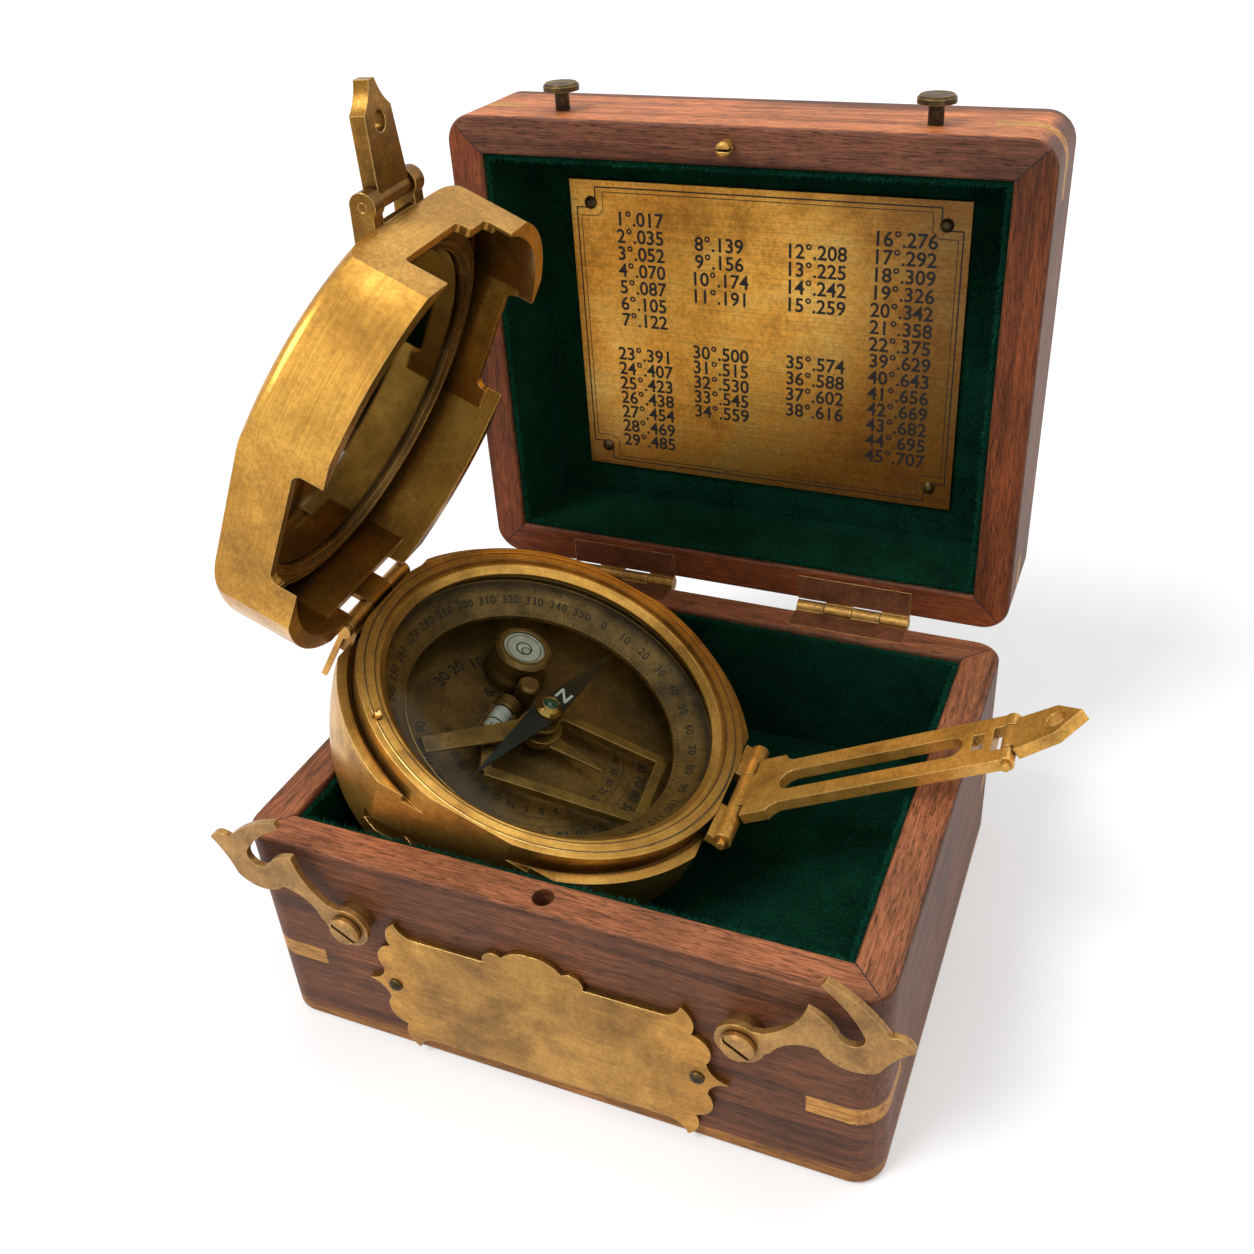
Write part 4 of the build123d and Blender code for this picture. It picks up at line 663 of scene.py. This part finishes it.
# Fine turned lines on the case's ring and round the dial: painted shade in the grooves, painted highlights
# on the edges.
# Each has its inner and outer radius, its height and its finish.
groove_rise, edge_width, edge_rise = 0.02, 0.4, 0.05
turned_lines = [("case_ring_groove_shade", 39.3, 39.5, groove_rise, engraving_and_groove_shade),
                ("case_ring_edge_highlight", 39.5, 39.75, groove_rise, polished_and_highlight_brass),
                ("case_ring_seat_shade", 37.45, 37.6, groove_rise, engraving_and_groove_shade),
                ("dial_inner_edge_highlight", dial_inner, dial_inner + edge_width, edge_rise - dial_inner_drop,
                 polished_and_highlight_brass)]
for name, inner, outer, height, material in turned_lines:
    ring_mark(name, "compass", dial @ shifted(0, 0, height), inner, outer, material, 144)


def turned_bead(name, body, at, radius, thick, material):
    """Thin raised bead turned round a frame's axis, in millimetres."""
    sides, round_steps = 120, 8
    points, faces = [], []
    for i in range(sides):
        a = 2 * math.pi * i / sides
        for j in range(round_steps):
            b = 2 * math.pi * j / round_steps
            r = radius + thick * math.cos(b)
            points.append(at @ (Vector((r * math.cos(a), r * math.sin(a), thick * math.sin(b))) * MM))
    for i in range(sides):
        for j in range(round_steps):
            k, m = (i + 1) % sides, (j + 1) % round_steps
            this, other = i * round_steps, k * round_steps
            faces.append((this + j, other + j, other + m, this + m))
    piece = mesh_piece(name, body, material, points, faces)
    for face in piece.data.polygons:
        face.use_smooth = True


# Beads turned on the ring that holds the mirror, at its edges and in the hollow between them:
# the radius they run at, their height over the mirror lid's frame and their own thickness
ring_beads = [("mirror_ring_bead_outer", 36.8, 8.6, 0.35),
              ("mirror_ring_bead_middle", 34.9, 8.1, 0.25),
              ("mirror_ring_bead_inner", 33.2, 8.85, 0.3)]
for name, radius, height, thick in ring_beads:
    turned_bead(name, "mirror_lid", mirror_frame @ shifted(0, 0, height), radius, thick, mirror_ring_brass)


def mitre_lines(name, body, at):
    """Dark glue lines where the four wall boards meet on a rim that faces z."""
    corner_short, width, rise = 2.2, 0.22, 0.015
    end_x, end_y = outer_half_x - corner_short, outer_half_y - corner_short
    lines = Marks()
    for sx in (-1, 1):
        for sy in (-1, 1):
            lines.line(at, (sx * inner_half_x, sy * inner_half_y), (sx * end_x, sy * end_y), width, rise)
    lines.piece(name, body, glue_line, "rosewood")


def seed_of(words):
    """Seed from a name, the same on every run."""
    return sum((i + 1) * ord(c) for i, c in enumerate(words))


def velvet_lining(name, body, at, low, high, floor_level, cushion):
    """Velvet glued round the walls over a padded floor, with a soft rolled edge and standing pile.

    The frame's z points out of the mouth; low and high are the lining's ends, floor_level the pad's face.
    """
    rng = random.Random(seed_of(name))
    thick, step, unevenness = 1.2, 2.0, 0.08
    roll_depth, wall_crown, wall_gap = 0.5, 0.1, 0.05
    in_x, in_y = inner_half_x - thick, inner_half_y - thick
    points, faces = [], []

    def sheet(corner, along, across, length, width, bulge):
        """Finely divided sheet with a little unevenness, and its crown towards the inside."""
        na, nb = max(2, round(length / step)), max(2, round(width / step))
        first = len(points)
        normal = along.cross(across)
        for j in range(nb + 1):
            for i in range(na + 1):
                s, t = i / na, j / nb
                crown = bulge * (4 * s * (1 - s)) ** 0.4 * (4 * t * (1 - t)) ** 0.4
                inside = 0 < i < na and 0 < j < nb
                rough = rng.uniform(-unevenness, unevenness) if inside else 0
                points.append(corner + along * s * length + across * t * width + normal * (crown + rough))
        for j in range(nb):
            for i in range(na):
                a = first + j * (na + 1) + i
                faces.append((a, a + 1, a + na + 2, a + na + 1))

    x, y, z = Vector((1, 0, 0)), Vector((0, 1, 0)), Vector((0, 0, 1))
    lip = high - roll_depth
    sheet(Vector((-in_x, -in_y, floor_level)), x, y, 2 * in_x, 2 * in_y, cushion)
    sheet(Vector((in_x, -in_y, floor_level)), -x, z, 2 * in_x, lip - floor_level, wall_crown)
    sheet(Vector((-in_x, in_y, floor_level)), x, z, 2 * in_x, lip - floor_level, wall_crown)
    sheet(Vector((-in_x, -in_y, floor_level)), y, z, 2 * in_y, lip - floor_level, wall_crown)
    sheet(Vector((in_x, in_y, floor_level)), -y, z, 2 * in_y, lip - floor_level, wall_crown)
    # Rolled edge up to the wall and plain back: half width, half depth and height of each level
    back_x, back_y = inner_half_x - wall_gap, inner_half_y - wall_gap
    roll = [(in_x, in_y, lip), (in_x + 0.25, in_y + 0.25, high - 0.12), (in_x + 0.6, in_y + 0.6, high),
            (back_x, back_y, high - 0.2), (back_x, back_y, low)]
    first = len(points)
    for rx, ry, rz in roll:
        points.extend(Vector((sx * rx, sy * ry, rz)) for sx, sy in ((-1, -1), (1, -1), (1, 1), (-1, 1)))
    for level in range(len(roll) - 1):
        for side in range(4):
            a, b = first + level * 4 + side, first + level * 4 + (side + 1) % 4
            faces.append((a, b, b + 4, a + 4))
    last = first + (len(roll) - 1) * 4
    faces.append((last + 3, last + 2, last + 1, last))
    lining = mesh_piece(name, body, velvet, [at @ (p * MM) for p in points], faces)

    # Standing pile: blades drawn wider than real fibres, so that a few thousand of them show
    blade_half = 0.07
    tuft_points, tuft_faces = [], []

    def tuft(root, lean, length):
        """One thin blade of pile."""
        side = Vector([rng.uniform(-1, 1) for _ in range(3)]).cross(lean).normalized() * blade_half
        n = len(tuft_points)
        tuft_points.extend([root - side, root + side, root + lean * length])
        tuft_faces.append((n, n + 1, n + 2))

    edge_tufts, floor_tufts = 9000, 7000
    for _ in range(edge_tufts):
        if rng.random() < in_x / (in_x + in_y):
            px, py = rng.uniform(-in_x, in_x), rng.choice((-1, 1)) * (in_y + rng.uniform(0, 1.0))
            inward = Vector((0, -1 if py > 0 else 1, 0))
        else:
            px, py = rng.choice((-1, 1)) * (in_x + rng.uniform(0, 1.0)), rng.uniform(-in_y, in_y)
            inward = Vector((-1 if px > 0 else 1, 0, 0))
        wander = Vector((rng.uniform(-0.5, 0.5), rng.uniform(-0.5, 0.5), 0))
        lean = (z * rng.uniform(0.3, 1.2) + inward * rng.uniform(-0.3, 0.9) + wander).normalized()
        tuft(Vector((px, py, high - rng.uniform(0.05, 0.5))), lean, rng.uniform(0.5, 1.1))
    for _ in range(floor_tufts):
        px, py = rng.uniform(-in_x, in_x), rng.uniform(-in_y, in_y)
        lean = Vector((rng.uniform(-0.7, 0.7), rng.uniform(-0.7, 0.7), 1)).normalized()
        tuft(Vector((px, py, floor_level + 0.05)), lean, rng.uniform(0.3, 0.6))
    blades = [at @ (p * MM) for p in tuft_points]
    mesh_piece(name + "_pile", body, velvet_pile, blades, tuft_faces)
    return lining


rim_drop = 1.0
base_low, base_pad, pad_crown = 4.0, 18.6, 0.35
lid_low, lid_pad, flat_pad = -22.0, -21.0, 0.0
base_lining = velvet_lining("base_velvet", "box_base", box, base_low, rim_height - rim_drop, base_pad,
                            pad_crown)
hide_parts("base_lining")
lid_lining = velvet_lining("lid_velvet", "box_lid", lid_mouth, lid_low, -rim_drop, lid_pad, flat_pad)
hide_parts("lid_lining")
mitre_lines("base_mitre_lines", "box_base", box @ shifted(0, 0, rim_height))
mitre_lines("lid_mitre_lines", "box_lid", lid_mouth @ shifted(0, 0, -rim_gap))

# White paper floor: plain diffuse, lifted to white for the camera and for gloss, with the shadow kept
floor_half, paper_tone, paper_glow_seen = 4.0, 0.72, 0.35
floor_mesh = bpy.data.meshes.new("floor")
floor_corners = [(sx * floor_half, sy * floor_half, 0) for sx, sy in ((-1, -1), (1, -1), (1, 1), (-1, 1))]
floor_mesh.from_pydata(floor_corners, [], [(0, 1, 2, 3)])
floor = bpy.data.objects.new("floor", floor_mesh)
bpy.context.scene.collection.objects.link(floor)
paper, paper_tree, paper_out = new_material("white_paper")
paper_shader = node(paper_tree, "BsdfDiffuse", None, {"Color": grey(paper_tone)})
paper_ray = node(paper_tree, "LightPath")
paper_seen = node(paper_tree, "Math", {"operation": "MAXIMUM"}, {
    0: paper_ray.outputs["Is Camera Ray"], 1: paper_ray.outputs["Is Glossy Ray"]})
paper_lift = node(paper_tree, "Math", {"operation": "MULTIPLY"}, {
    0: paper_seen.outputs[0], 1: paper_glow_seen})
paper_glow = node(paper_tree, "Emission", None, {"Strength": paper_lift.outputs[0]})
paper_sum = node(paper_tree, "AddShader", None, {0: paper_shader.outputs[0], 1: paper_glow.outputs[0]})
paper_tree.links.new(paper_sum.outputs[0], paper_out.inputs["Surface"])
floor_mesh.materials.append(paper)

# White studio: shown at full strength, and dimmer where it lights the box
shown_strength, lit_strength = 1.0, 0.42
world = bpy.data.worlds.new("studio")
bpy.context.scene.world = world
world.use_nodes = True
sky = world.node_tree
sky.nodes.clear()
ray = node(sky, "LightPath")
seen = node(sky, "Math", {"operation": "MAXIMUM"}, {
    0: ray.outputs["Is Camera Ray"], 1: ray.outputs["Is Transmission Ray"]})
shown = node(sky, "Math", {"operation": "MAXIMUM"}, {0: seen.outputs[0], 1: ray.outputs["Is Glossy Ray"]})
plain = node(sky, "Background", None, {"Color": grey(1), "Strength": shown_strength})
soft = node(sky, "Background", None, {"Color": grey(1), "Strength": lit_strength})
backdrop = node(sky, "MixShader", None, {0: shown.outputs[0], 1: soft.outputs[0], 2: plain.outputs[0]})
node(sky, "OutputWorld", None, {"Surface": backdrop.outputs[0]})


def studio_lamp(name, at, strength, spread):
    """Distant soft lamp that shines from a point towards the box; spread is its width in degrees."""
    lamp = bpy.data.lights.new(name, "SUN")
    lamp.energy, lamp.angle = strength, math.radians(spread)
    holder = bpy.data.objects.new(name, lamp)
    holder.rotation_euler = (-Vector(at)).to_track_quat("-Z", "Y").to_euler()
    bpy.context.scene.collection.objects.link(holder)


lamps = [("key_light", (-0.5, -0.62, 1.0), 1.75, 24), ("fill_light", (0.6, -0.6, 0.6), 0.25, 60),
         ("top_light", (0.1, 0.3, 1.0), 0.75, 50)]
for name, at, strength, spread in lamps:
    studio_lamp(name, at, strength, spread)

# Camera: as the photograph, fitted to the box's corners and the dial
lens_pixels, photo_pixels, sensor = 1291.66, 1254, 36.0
lens_data = bpy.data.cameras.new("camera")
lens_data.sensor_width = sensor
lens_data.lens = lens_pixels / photo_pixels * sensor
lens_data.shift_x, lens_data.shift_y = -0.02933, -0.01970
lens_data.clip_start, lens_data.clip_end = 0.01, 20
camera = bpy.data.objects.new("camera", lens_data)
camera_right = Vector((0.927015, 0.371496, -0.051319))
camera_up = Vector((-0.16359, 0.523708, 0.836043))
camera_back = Vector((0.337463, -0.76663, 0.546258))
camera_place = Vector((87.29, -186.314, 214.35)) * MM
camera.matrix_world = placed(camera_place, camera_right, camera_up, camera_back)
bpy.context.scene.collection.objects.link(camera)
bpy.context.scene.camera = camera
bpy.context.scene.view_settings.view_transform = "Standard"
